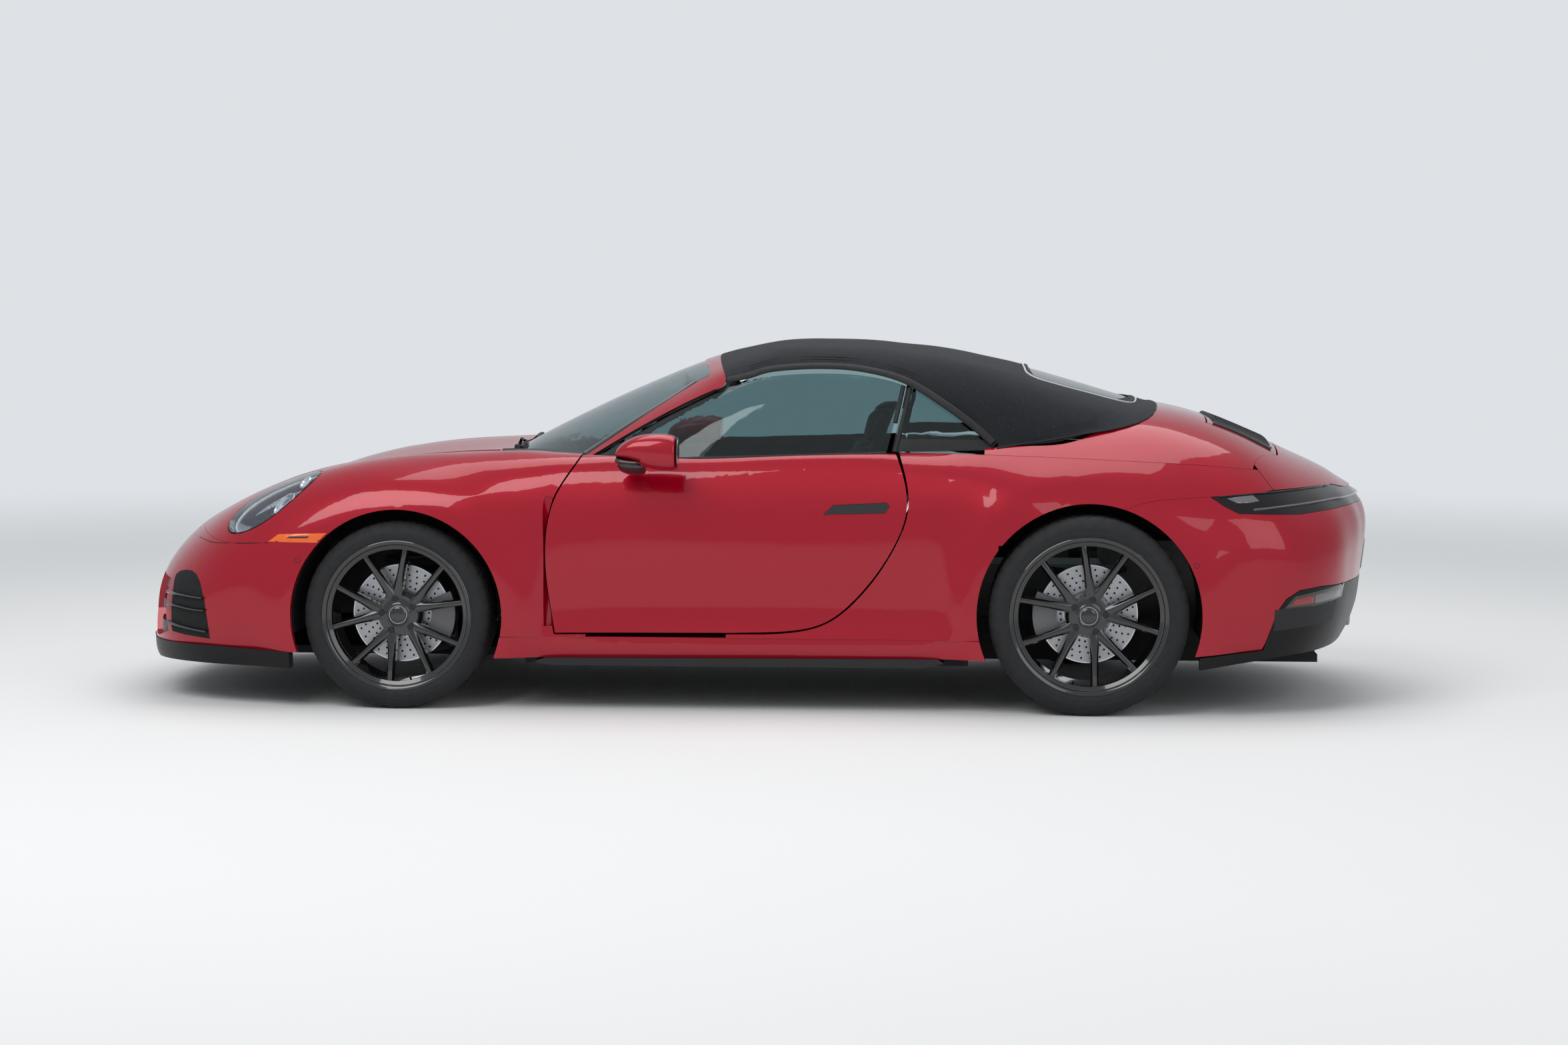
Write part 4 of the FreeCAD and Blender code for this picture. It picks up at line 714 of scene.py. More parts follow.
def wheel(name, axle_x, radius, width, rim_radius, track, phase, lug_phase, body):
    """tyre with its tread, and the dress of the rim and disc, for the left side"""
    centre = Vector((axle_x, -track / 2, radius))
    half = width / 2
    out = Vector((0, -1, 0))
    foot = rim_radius + 0.001
    wall = [
        (foot, half - 0.016), (foot + 0.006, half - 0.009), (foot + 0.012, half - 0.0045),
        (foot + 0.022, half - 0.002), (foot + 0.030, half - 0.0006), (foot + 0.0315, half - 0.0012),
        (foot + 0.033, half - 0.0006), (radius - 0.040, half - 0.0004), (radius - 0.030, half - 0.0035),
        (radius - 0.022, half - 0.0075), (radius - 0.0145, half - 0.0125), (radius - 0.008, half - 0.0185),
        (radius - 0.0035, half - 0.0255), (radius - 0.0012, half - 0.034)]
    grooves = [(-0.30, 0.010), (-0.105, 0.012), (0.105, 0.012), (0.30, 0.010)]
    tread = [(radius - 0.0012, half - 0.034)]
    for place, gap in reversed(grooves):
        mid = place * width
        for edge, r in ((mid + gap / 2, radius), (mid + gap / 2 - 0.0018, radius - 0.007),
                        (mid - gap / 2 + 0.0018, radius - 0.007), (mid - gap / 2, radius)):
            tread.append((r - 0.0004 * (edge / half) ** 2, edge))
    tread.append((radius - 0.0012, -half + 0.034))
    profile = wall[:-1] + tread + [(r, -h) for r, h in reversed(wall[:-1])]
    profile += [(foot, -half + 0.016), (foot - 0.003, -half + 0.02), (foot - 0.003, half - 0.02)]
    count = 240
    block = 6
    verts = []
    for k, angle in enumerate(turns(count)):
        for r, h in profile:
            shoulder = r > radius - 0.0165 and abs(h) > half * 0.66
            middle = r > radius - 0.003 and 0.12 * width < abs(h) < 0.66 * half
            cut = 0.0
            if shoulder and k % block == 0:
                cut = 0.0032
            elif middle and not shoulder and (k + (2 if h > 0 else 0)) % block == 0:
                cut = 0.0028
            verts.append(centre + ray(angle) * (r - cut) + out * h)
    faces = bands(count, len(profile), True, True)
    tyre = make_object("tyre_" + name + "_left_tread", verts, faces, rubber, body, "tyre")
    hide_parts("tyre_" + name + "_left")
    twin = both(tyre, body)
    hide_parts("tyre_" + name + "_right")

    face = half - RIM_INSET
    pieces = []
    lip = [
        (rim_radius - 0.0003, half - 0.016), (rim_radius + 0.0075, half - 0.0090),
        (rim_radius + 0.0095, half - 0.0062), (rim_radius + 0.0075, half - 0.0050),
        (rim_radius + 0.002, half - 0.0070), (rim_radius - 0.0035, half - 0.0092),
        (rim_radius - 0.006, half - 0.012), (rim_radius - 0.009, half - 0.020),
        (rim_radius - 0.0115, half - 0.030), (rim_radius - 0.0125, half - 0.046),
        (rim_radius - 0.020, half - 0.050), (rim_radius - 0.0215, half - 0.062),
        (rim_radius - 0.020, half - 0.075), (rim_radius - 0.0008, half - 0.075)]
    pieces.append(lathe("part", lip, centre, out, rim_black, body, 160, closed_profile=True))
    for i in range(10):
        spoke_angle = math.radians(36 * i + phase)
        lug_angle = math.radians(36 * i + phase + (12 if i % 2 else -12))
        inner = ray(lug_angle) * 0.066
        outer = ray(spoke_angle) * (rim_radius - 0.016)
        along = (outer - inner).normalized()
        across = Vector((-along.z, 0, along.x))
        verts = []
        for t, w, ridge, rise in (
                (0.0, 0.0180, 0.0105, 0.0035), (0.12, 0.0168, 0.0095, 0.0075),
                (0.4, 0.0142, 0.0078, 0.0115), (0.75, 0.0134, 0.0074, 0.0155),
                (0.93, 0.0132, 0.0078, 0.0175), (1.0, 0.0134, 0.0080, 0.0150)):
            mid = centre + inner + (outer - inner) * t + out * face
            edge, crest, flat = across * w, across * ridge, across * ridge * 0.7
            half_profile = [(edge, -0.012), (edge, 0.0012), (crest, rise), (flat, rise + 0.001)]
            verts.extend(mid - a + out * b for a, b in half_profile)
            verts.extend(mid + a + out * b for a, b in reversed(half_profile))
        pieces.append(make_object("part", verts, caps(6, 8) + bands(6, 8), rim_black, body))
    hub = [
        (0.0, 0.003), (0.034, 0.003), (0.036, 0.0042), (0.0385, 0.0042), (0.0405, 0.002), (0.048, 0.0005),
        (0.0705, -0.0005), (0.0712, -0.006)]
    pieces.append(lathe("part", hub, centre + out * face, out, rim_black, body, 72))
    dress_piece = joined("rim_" + name + "_left_spokes", pieces, body)
    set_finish(dress_piece, "rim")
    both(dress_piece, body)

    cap = lathe(
        "cap_" + name + "_left",
        [(0.0, 0.0085), (0.012, 0.0082), (0.022, 0.0070), (0.0275, 0.0050), (0.029, 0.0028), (0.029, 0.0)],
        centre + out * face, out, black_gloss, body, 48, "black_trim")
    both(cap, body)
    ring = lathe(
        "cap_ring_" + name + "_left",
        [(0.0290, 0.0030), (0.0300, 0.0046), (0.0315, 0.0046), (0.0325, 0.0030)], centre + out * face, out,
        steel, body, 64, "steel", closed_profile=True)
    both(ring, body)
    lugs = []
    for i in range(5):
        angle = math.radians(72 * i + lug_phase)
        place = centre + ray(angle) * 0.0605 + out * (face - 0.001)
        lugs.append(lathe(
            "part",
            [
                (0.0135, 0.0004), (0.0135, 0.0012), (0.0105, 0.0014), (0.0102, 0.0075), (0.0088, 0.0088),
                (0.0052, 0.0088), (0.0048, 0.0050), (0.0, 0.0050)],
            place, out, dark_steel, body, 18))
    lug_piece = joined("lugs_" + name + "_left", lugs, body)
    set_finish(lug_piece, "steel")
    both(lug_piece, body)
    angle = math.radians(lug_phase + 180)
    base = centre + ray(angle) * (rim_radius - 0.020) + out * (half - 0.048)
    tip = base - ray(angle) * 0.016 + out * 0.018
    valve = tube(
        "valve_" + name + "_left", [base, (base + tip) / 2, tip], 0.0035, black_satin, body, 10, 0.004)
    both(valve, body)

    plane = track / 2 + half - RIM_INSET - SPOKE_DEPTH - DISC_GAP - DISC_HAT
    # black discs laid over the drilled holes are painted shade, standing for the dark inside of each hole
    hole_shades = []
    for turn_angle in turns(30):
        for k, r in enumerate((0.098, 0.118, 0.138, 0.158)):
            a = turn_angle + 0.055 * k
            at = Vector((axle_x + math.cos(a) * r, -plane - 0.0004, radius + math.sin(a) * r))
            hole_shades.append(lathe(
                "part", [(0.0, 0.0002), (0.0034, 0.0002), (0.0040, 0.0)], at, out, black_rough, body, 8))
    hole_shades = joined("disc_hole_shades_" + name + "_left", hole_shades, body)
    both(hole_shades, body)
    hub_point = Vector((axle_x, -plane, radius))
    rings = [lathe("part", ring, hub_point, out, steel, body, 90, closed_profile=True) for ring in (
        [(0.1745, -0.001), (0.1745, 0.0006), (0.1705, 0.0008), (0.1700, -0.001)],
        [(0.0880, -0.001), (0.0880, 0.0008), (0.0845, 0.0008), (0.0840, -0.001)])]
    rings = joined("disc_rings_" + name + "_left", rings, body)
    both(rings, body)
    hat = lathe(
        "disc_hat_" + name + "_left",
        [(0.0786, 0.0005), (0.0786, 0.037), (0.0750, 0.0408), (0.0700, 0.0409)], hub_point, out,
        black_satin, body, 64)
    both(hat, body)
    return plane


front_plane = wheel("front", FRONT_AXLE, FRONT_RADIUS, 0.245, 0.258, 1.580, 47.0, 101.0, "wheel_front_left")
rear_plane = wheel("rear", REAR_AXLE, REAR_RADIUS, 0.305, 0.270, 1.556, 23.0, 77.0, "wheel_rear_left")


def caliper(name, axle_x, radius, plane, middle, spread_angle, body):
    """black brake caliper over the disc, with its bolts"""
    rings = []
    steps = 9
    for i in range(steps):
        t = i / (steps - 1)
        a = math.radians(middle - spread_angle + 2 * spread_angle * t)
        fade = 0.80 + 0.20 * math.sin(math.pi * t)
        spoke = ray(a)
        y = -(plane + 0.0035)
        outer = 0.1925 * (0.985 + 0.015 * fade)
        inner = 0.122 + 0.014 * (1 - fade) * 5
        depth = 0.0245 * fade
        corners = [
            (inner, 0.0), (inner + 0.006, depth * 0.8), (inner + 0.018, depth), (outer - 0.022, depth),
            (outer - 0.008, depth * 0.85), (outer, depth * 0.2), (outer, 0.0),
            ((inner + outer) / 2, -0.001)]
        rings.append([Vector((axle_x, y, radius)) + spoke * r + Vector((0, -d, 0)) for r, d in corners])
    form = solid("caliper_" + name + "_left", rings, caliper_black, body, 2)
    both(form, body)
    bolts = []
    for k, shift in enumerate((-0.6, -0.2, 0.2, 0.6)):
        a = math.radians(middle + spread_angle * shift)
        at = Vector((axle_x + math.cos(a) * 0.170, -(plane + 0.0265), radius + math.sin(a) * 0.170))
        bolts.append(lathe(
            "part",
            [
                (0.0062, -0.002), (0.0062, 0.0018), (0.0050, 0.0030), (0.0028, 0.0030), (0.0026, 0.0012),
                (0.0, 0.0012)],
            at, (0, -1, 0), steel, body, 12))
    bolts = joined("caliper_bolts_" + name + "_left", bolts, body)
    both(bolts, body)


caliper("front", FRONT_AXLE, FRONT_RADIUS, front_plane, 0.0, 23.0, "knuckle_left")
caliper("rear", REAR_AXLE, REAR_RADIUS, rear_plane, 180.0, 23.0, "body")


# Lines over several views

def trail(spots, step=0.012, lift=0.0, closed=False):
    """a smooth line through places given as (tree, view, a, b), with the surface's normals"""
    rows = []
    for tree, view, a, b in spots:
        hit = drop(tree, view, a, b)
        if hit:
            rows.append((*hit[0], *(hit[1] * 0.01)))
    run = smooth_run(rows, step, closed)
    normals = [Vector(r[3:]).normalized() for r in run]
    return [Vector(r[:3]) + n * lift for r, n in zip(run, normals)], normals


def bead(name, spots, width, height, look, body, lift=0.0, closed=False, slot=None):
    points, normals = trail(spots, lift=lift / 1000, closed=closed)
    return sweep(name, points, normals, oval(width / 1000, height / 1000, 10), look, body, closed, slot)


def mirrored(spots):
    """the line's other half, for lines that run from one side of the car to the other"""
    other = []
    for tree, view, a, b in reversed(spots):
        if view == "side":
            flip = (Vector((1, 0, 0)), Vector((0, 0, 1)), Vector((0, -1, 0)))
            other.append((tree, flip, a, b))
        elif view == "top":
            other.append((tree, view, a, -b))
        else:
            other.append((tree, view, -a, b))
    return spots + other


# Trees of the surfaces that pieces lie on

flank = tree_of("front_fender_left", "front_fender_right", "door_left", "door_right", "rear_quarter_left",
                "rear_quarter_right", "front_bumper", "rear_bumper", "front_lid", "top_cover", "spoiler",
                "rear_diffuser")
lamp_tree = tree_of("headlights")
roof = tree_of("soft_top")
frame_tree = tree_of("windshield_frame", "soft_top")
screen = tree_of("windshield")
side_glass = tree_of("door_glass_left", "door_glass_right")
quarter_pane = tree_of("quarter_glass")
cowl_tree = tree_of("cowl")


# Headlights

def headlight():
    normal = Vector((-0.62, -0.42, 0.66)).normalized()
    long_axis = Vector((0.66, 0.12, 0.74))
    long_axis = (long_axis - normal * long_axis.dot(normal)).normalized()
    short_axis = normal.cross(long_axis)
    centre = Vector((-1.700, -0.742, 0.730))
    view = (long_axis, short_axis, -normal)
    a0, b0 = centre.dot(long_axis) * 1000, centre.dot(short_axis) * 1000

    def loop(scale, count=56):
        return [(a0 + 192 * scale * math.cos(a), b0 + 108 * scale * math.sin(a)) for a in turns(count)]

    rim = [h[0] for h in struck(lamp_tree, view, loop(0.992))]
    middle = sum(rim, Vector()) / len(rim)
    rings = [[p - normal * 0.0005 for p in rim]]
    for scale, deep in (
            (0.955, 0.003), (0.93, 0.012), (0.88, 0.040), (0.72, 0.058), (0.4, 0.066), (0.05, 0.068)):
        rings.append([middle + (p - middle) * scale - normal * deep for p in rim])
    verts = [p for ring in rings for p in ring]
    n = len(rim)
    faces = bands(len(rings), n) + caps(len(rings), n)[1:]
    bowl = make_object("headlight_bowl_left", verts, faces, lamp_dark, "body", "black_trim")
    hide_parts("headlights")
    both(bowl, "body")
    lens = decal(
        "headlight_lens_left", lamp_tree, view, loop(0.975, 48), clear, "body", lift=0.5, depth=3.0,
        cell=16, round_edge=0.5, sharp=False)
    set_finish(lens, "clear_lamp")
    both(lens, "body")
    outer = [middle + (p - middle) * 0.90 - normal * 0.020 for p in rim]
    frame_ring = sweep(
        "headlight_ring_left", outer, [normal] * len(outer), oval(0.007, 0.010, 8), lamp_white, "body",
        True, "clear_lamp")
    both(frame_ring, "body")
    place = middle - normal * 0.062 + long_axis * 0.012
    projector = lathe(
        "headlight_projector_left",
        [
            (0.052, 0.0), (0.056, 0.010), (0.055, 0.026), (0.050, 0.030), (0.046, 0.029), (0.043, 0.020),
            (0.041, 0.014), (0.0, 0.014)],
        place, normal, lamp_bright, "body", 48)
    both(projector, "body")
    ball = lathe(
        "headlight_ball_left",
        [(0.040, 0.012), (0.036, 0.024), (0.026, 0.034), (0.013, 0.039), (0.0, 0.040)], place, normal,
        clear, "body", 40)
    both(ball, "body")
    units = []
    for s in (-0.110, 0.122):
        spot = middle + long_axis * s - normal * 0.040
        units.append(lathe(
            "part",
            [(0.026, -0.004), (0.028, 0.002), (0.026, 0.006), (0.020, 0.007), (0.016, 0.001), (0.0, 0.0)],
            spot, normal, lamp_bright, "body", 28))
    both(joined("headlight_units_left", units, "body"), "body")


headlight()


# Side marker, sensors, door furniture and seals

marker = decal(
    "side_marker_left", flank, "side", [(-1694, 593), (-1657, 620), (-1478, 627), (-1514, 593)], amber,
    "body", lift=1.6, depth=5, cell=9, round_edge=0.25)
both(marker, "body")
slot_line = decal(
    "side_marker_slot_left", flank, "side", [(-1625, 606), (-1615, 613), (-1540, 615), (-1548, 608)],
    black_satin, "body", lift=2.2, depth=2, cell=6, round_edge=0.2)
both(slot_line, "body")

sensor_parts = []
for x, z in ((-1580, 531), (1590, 536)):
    hit = drop(flank, "side", x, z)
    sensor_parts.append(lathe(
        "part", [(0.0098, -0.0005), (0.0098, 0.0006), (0.0086, 0.0009), (0.0078, -0.0005)], hit[0], hit[1],
        black_satin, "body", 28, closed_profile=True))
sensors = joined("parking_sensors_left", sensor_parts, "body")
both(sensors, "body")

edge_line = [
    (-84, 1158), (0, 1176), (85, 1200), (245, 1211), (404, 1202), (563, 1162), (706, 1074), (814, 995),
    (872, 944)]
roof_seal = strip(
    "roof_seal_left", roof, "side", [(x + (8 if x > 600 else 0), z + 7) for x, z in edge_line], 30, 15,
    seal, "body", lift=1.0, step=12)
both(roof_seal, "body")
pillar = struck(
    frame_tree, "side",
    smooth_run([(-588, 892), (-470, 960), (-350, 1032), (-235, 1088), (-128, 1144)], 12))
pillar_seal = sweep(
    "pillar_seal_left", [h[0] + Vector((0.005, 0.0, -0.012)) for h in pillar], [h[1] for h in pillar],
    oval(0.021, 0.014), seal, "body")
both(pillar_seal, "body")


def edge_strip(name, tree, path, width, shift, body):
    """a seal along a pane's edge, carried sideways off the pane's face"""
    hits = struck(tree, "side", smooth_run(path, 12))
    points = [h[0] + Vector((shift, 0, 0)) for h in hits]
    piece = sweep(name, points, [h[1] for h in hits], oval(width, 0.010), seal, body)
    both(piece, body)


edge_strip(
    "door_glass_edge_left", side_glass, [(554, 1148), (530, 1032), (505, 916)], 0.017, 0.004, "door_left")
edge_strip(
    "quarter_glass_edge_left", quarter_pane, [(586, 1142), (572, 1070), (536, 918)], 0.017, -0.004, "body")
belt = strip(
    "belt_seal_left", side_glass, "side", [(-540, 886), (-400, 885), (-226, 889), (120, 899), (500, 912)],
    14, 12, seal, "door_left", lift=3.0, step=14)
both(belt, "door_left")
quarter_foot = decal(
    "quarter_foot_left", tree_of("quarter_glass"), "side",
    [(536, 920), (545, 962), (640, 964), (740, 962), (842, 962), (884, 934), (868, 926)], seal, "body",
    lift=1.5, depth=3, cell=16)
both(quarter_foot, "body")

frit = strip(
    "screen_border_left", screen, "side",
    [(-628, 876), (-520, 949), (-410, 1023), (-300, 1094), (-205, 1158)], 26, 3, black_gloss, "body",
    lift=0.6, step=14)
both(frit, "body")


# Outside mirror

def oblong(x, y0, y1, z0, z1, count=16, square=0.62):
    """ring of a rounded form across the car"""
    out = []
    for a in turns(count):
        c, s = squared(math.cos(a), square), squared(math.sin(a), square)
        out.append(Vector((
            x, (y0 + y1) / 2 + c * (y1 - y0) / 2, (z0 + z1) / 2 + s * (z1 - z0) / 2)))
    return out


def mirror():
    def ring(x, y0, y1, z0, z1):
        return oblong(x, y0, y1, z0, z1, count=12, square=0.88)

    cap = solid("mirror_cap_left", [
        ring(-0.4425, -0.970, -0.925, 0.9060, 0.9200), ring(-0.4380, -0.984, -0.908, 0.9020, 0.9360),
        ring(-0.4150, -0.999, -0.896, 0.8985, 0.9590), ring(-0.3800, -1.008, -0.890, 0.8880, 0.9780),
        ring(-0.3450, -1.012, -0.888, 0.8690, 0.9880), ring(-0.3000, -1.015, -0.888, 0.8590, 0.9920),
        ring(-0.2550, -1.015, -0.889, 0.8560, 0.9900), ring(-0.2340, -1.013, -0.891, 0.8580, 0.9830),
        ring(-0.2270, -1.010, -0.894, 0.8610, 0.9790)],
        paint, "door_left", 2, "body_paint")
    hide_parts("mirror_left")
    other = both(cap, "door_left")
    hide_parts("mirror_right")
    shell = solid("mirror_rim_left", [
        ring(-0.2290, -1.0110, -0.8930, 0.8600, 0.9810), ring(-0.2235, -1.0110, -0.8930, 0.8600, 0.9810),
        ring(-0.2225, -1.008, -0.896, 0.8630, 0.9780)], black_gloss, "door_left", 1, "black_trim")
    both(shell, "door_left")
    pane = solid("mirror_glass_left", [
        ring(-0.2230, -1.005, -0.899, 0.8660, 0.9750), ring(-0.2214, -1.005, -0.899, 0.8660, 0.9750)],
        steel, "door_left", 1, "steel")
    both(pane, "door_left")
    spear = solid("mirror_spear_left", [
        ring(-0.4430, -0.980, -0.915, 0.8830, 0.9060), ring(-0.4400, -0.990, -0.906, 0.8800, 0.9070),
        ring(-0.4000, -1.004, -0.900, 0.8770, 0.9020), ring(-0.3650, -1.0105, -0.902, 0.8800, 0.8975),
        ring(-0.3500, -1.010, -0.912, 0.8860, 0.8950)], black_gloss, "door_left", 2, "black_trim")
    both(spear, "door_left")
    foot_rings = (
        [
            (-0.438, -0.965, 0.893), (-0.438, -0.925, 0.895), (-0.405, -0.900, 0.896),
            (-0.355, -0.900, 0.892), (-0.330, -0.930, 0.886), (-0.335, -0.965, 0.884),
            (-0.370, -0.985, 0.886), (-0.415, -0.985, 0.889)],
        [
            (-0.442, -0.950, 0.872), (-0.440, -0.912, 0.876), (-0.405, -0.890, 0.878),
            (-0.355, -0.888, 0.874), (-0.334, -0.912, 0.868), (-0.338, -0.945, 0.862),
            (-0.370, -0.962, 0.860), (-0.415, -0.965, 0.865)],
        [
            (-0.438, -0.915, 0.850), (-0.434, -0.885, 0.852), (-0.400, -0.868, 0.854),
            (-0.358, -0.866, 0.852), (-0.340, -0.882, 0.846), (-0.344, -0.908, 0.838),
            (-0.375, -0.922, 0.834), (-0.412, -0.925, 0.840)],
        [
            (-0.428, -0.862, 0.856), (-0.424, -0.856, 0.860), (-0.398, -0.852, 0.862),
            (-0.365, -0.852, 0.860), (-0.350, -0.856, 0.854), (-0.354, -0.864, 0.842),
            (-0.378, -0.868, 0.836), (-0.408, -0.868, 0.844)],
        [
            (-0.420, -0.838, 0.862), (-0.418, -0.836, 0.866), (-0.396, -0.834, 0.868),
            (-0.368, -0.834, 0.866), (-0.356, -0.836, 0.860), (-0.360, -0.840, 0.850),
            (-0.380, -0.842, 0.846), (-0.404, -0.842, 0.852)])
    foot = solid("mirror_foot_left", foot_rings, black_gloss, "door_left", 2, "black_trim")
    both(foot, "door_left")


mirror()


# Screen wipers and cowl

def wiper(name, blade, pivot):
    run = struck(screen, "top", smooth_run(blade, 16))
    points = [h[0] + h[1] * 0.008 for h in run]
    sweep(
        name + "_blade", points, [h[1] for h in run],
        [
            (-0.004, -0.007), (0.004, -0.007), (0.0055, 0.003), (0.002, 0.0065), (-0.002, 0.0065),
            (-0.0055, 0.003)],
        black_satin, "body", False, "matte_trim")
    middle = points[len(points) // 2] + Vector((0, 0, 0.010))
    base = Vector(pivot)
    tube(
        name + "_arm",
        [
            base, base + Vector((0.004, (middle.y - base.y) * 0.3, 0.018)),
            (base + middle) / 2 + Vector((0, 0, 0.020)), middle],
        0.0075, black_satin, "body", 10, 0.02, 0.55)
    lathe(
        name + "_pivot", [(0.019, -0.022), (0.019, 0.006), (0.015, 0.012), (0.0, 0.013)], base,
        (-0.2, 0, 1), black_satin, "body", 24)


wiper("wiper_left", [(-815, -520), (-868, -300), (-880, -60)], (-0.905, -0.100, 0.897))
wiper("wiper_right", [(-872, 110), (-868, 330), (-830, 500)], (-0.890, 0.560, 0.897))

slats = []
for k in range(22):
    y = -520 + k * 49.5
    run = struck(cowl_tree, "top", [(x, y + 0.0001) for x in (-918, -900, -882)])
    if len(run) == 3:
        slats.append(sweep(
            "part", [h[0] + h[1] * 0.001 for h in run], [h[1] for h in run], oval(0.030, 0.004, 8),
            black_rough, "body"))
joined("cowl_slats", slats, "body")


# Lines and openings of the nose, traced on the photograph

def traced(points, x0, y0, zoom):
    """the photograph's pixels from places in an enlarged crop"""
    return [((x0 + x / zoom) * CROP_SCALE, (y0 + y / zoom) * CROP_SCALE) for x, y in points]


def nose(points):
    return traced([(x * 1.0526, y * 1.0526) for x, y in points], 100, 290, 7)


bumper_line = strip(
    "bumper_joint_left", flank, "photo",
    nose([(168, 383), (205, 405), (240, 421), (275, 429), (400, 430), (496, 430)]), 3, 1.6, black_rough,
    "body", lift=0.0, step=6)
both(bumper_line, "body")
intake = decal(
    "intake_left", flank, "photo",
    nose([
        (92, 592), (100, 566), (118, 551), (142, 546), (168, 549), (188, 565), (204, 600), (222, 680),
        (240, 800), (247, 846), (140, 828), (84, 812), (80, 790), (80, 700)]),
    black_rough, "body", lift=1.6, depth=3.5, cell=6)
both(intake, "body")
blades = []
for line in (
        [(70, 642), (120, 655), (170, 664), (218, 670)], [(70, 692), (120, 706), (175, 717), (226, 722)],
        [(66, 770), (110, 785), (170, 800), (236, 812)]):
    points, normals = trail([(flank, "photo", *p) for p in nose(line)], 0.012, 0.003)
    blades.append(sweep("part", points, normals, oval(0.011, 0.020), black_gloss, "body"))
blades = joined("intake_blades_left", blades, "body")
both(blades, "body")


# Soft top: one sheet over the frame's bows

def outer_faces(tree, mesh, low, high):
    """faces of a shell that look outwards, with the shell's wall behind them"""
    chosen = []
    for face in mesh.polygons:
        centre, normal = face.center, face.normal
        if normal.dot(centre - Vector((centre.x, 0, 0.80))) <= 0:
            continue
        behind = tree.ray_cast(centre - normal * 0.0005, -normal, 0.2)
        if behind[0] is not None and low < behind[3] < high:
            chosen.append(face)
    return chosen


bow_places = (-0.125, 0.10, 0.42, 0.70, 0.985)


def top_sheet():
    mesh = nodes["soft_top"].data
    chosen = outer_faces(roof, mesh, 0.010, 0.048)
    used = sorted({i for f in chosen for i in f.vertices})
    index = {old: new for new, old in enumerate(used)}
    work = bmesh.new()
    verts = [work.verts.new(mesh.vertices[i].co) for i in used]
    for face in chosen:
        try:
            work.faces.new([verts[index[i]] for i in face.vertices])
        except ValueError:
            pass
    bmesh.ops.remove_doubles(work, verts=work.verts, dist=2e-5)
    for axis, count, low, high in ((0, 56, -0.15, 1.46), (1, 50, -0.78, 0.78)):
        for k in range(1, count):
            place = [0.0, 0.0, 0.0]
            normal = [0.0, 0.0, 0.0]
            place[axis] = low + (high - low) * k / count
            normal[axis] = 1.0
            bmesh.ops.bisect_plane(work, geom=work.verts[:] + work.edges[:] + work.faces[:], plane_co=place,
                                   plane_no=normal, dist=1e-5)
    bmesh.ops.recalc_face_normals(work, faces=work.faces)
    if sum(f.normal.z * f.calc_area() for f in work.faces) < 0:
        bmesh.ops.reverse_faces(work, faces=work.faces)
    work.normal_update()
    edge = [v.co.copy() for v in work.verts if v.is_boundary]
    near = nearness(edge)
    for v in work.verts:
        inner = min(1.0, near(v.co) / 0.10)
        x = v.co.x
        sag = 0.0
        for a, b in zip(bow_places, bow_places[1:]):
            if a < x < b:
                sag = math.sin(math.pi * (x - a) / (b - a)) ** 2
        lay = math.sin(x * 37 + v.co.y * 9) * math.sin(v.co.y * 23 - x * 5) * 0.0003
        v.co += v.normal * (0.0012 - 0.0024 * sag * inner + lay * inner)
    area = sum(f.calc_area() for f in work.faces)
    new = bpy.data.meshes.new("soft_top_fabric")
    work.to_mesh(new)
    work.free()
    ob = bpy.data.objects.new("soft_top_fabric", new)
    bpy.context.collection.objects.link(ob)
    new.materials.append(fabric.material)
    modifier = ob.modifiers.new("thick", "SOLIDIFY")
    modifier.thickness = 0.003
    modifier.offset = -1
    baked(ob)
    ob.data.set_sharp_from_angle(angle=math.radians(60))
    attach(ob, "body")
    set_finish(ob, "top_fabric")
    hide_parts("soft_top")
    return ob, area


def nearness(points):
    """distance to the nearest of some points"""
    tree = KDTree(len(points))
    for i, p in enumerate(points):
        tree.insert(p, i)
    tree.balance()
    return lambda co: tree.find(co)[2]


top_fabric, top_area = top_sheet()
print("top sheet area", round(top_area, 3))

header = mirrored([
    (frame_tree, "side", -82, 1158), (frame_tree, "side", -90, 1183), (frame_tree, "side", -102, 1206),
    (roof, "top", -112, -560), (roof, "top", -126, -420), (roof, "top", -138, -220),
    (roof, "top", -142, -80)])
header_piping = bead("header_piping", header, 8, 7, piping, "body", lift=1.0)
seams = []
for shift in (30, 39):
    spots = [(roof, "side", x + (shift * 0.75 if x > 560 else 0), z + shift * (0.8 if x > 560 else 1))
             for x, z in edge_line if x > -50 and x < 830]
    seams.append(bead("part", spots, 2.6, 2.4, fabric, "body", lift=0.6))
side_seams = joined("top_side_seams_left", seams, "body")
both(side_seams, "body")
cross = []
for x in (985, 994):
    spots = [(roof, "top", x, y) for y in range(-640, 641, 40)]
    cross.append(bead("part", spots, 3.0, 2.4, fabric, "body", lift=0.7))
cross_seam = joined("top_cross_seam", cross, "body")

window_loop = [
    (1010, 0), (1013, -200), (1022, -360), (1048, -404), (1110, -398), (1220, -368), (1330, -336),
    (1374, -290), (1392, -160), (1397, 0)]
window_loop = window_loop + [(x, -y) for x, y in reversed(window_loop[1:-1])]


def grown(loop, gap):
    """the loop moved outwards by a gap"""
    out = []
    count = len(loop)
    for i, (x, y) in enumerate(loop):
        px, py = loop[i - 1]
        nx, ny = loop[(i + 1) % count]
        dx, dy = nx - px, ny - py
        size = math.hypot(dx, dy)
        out.append((x - dy / size * gap, y + dx / size * gap))
    return out


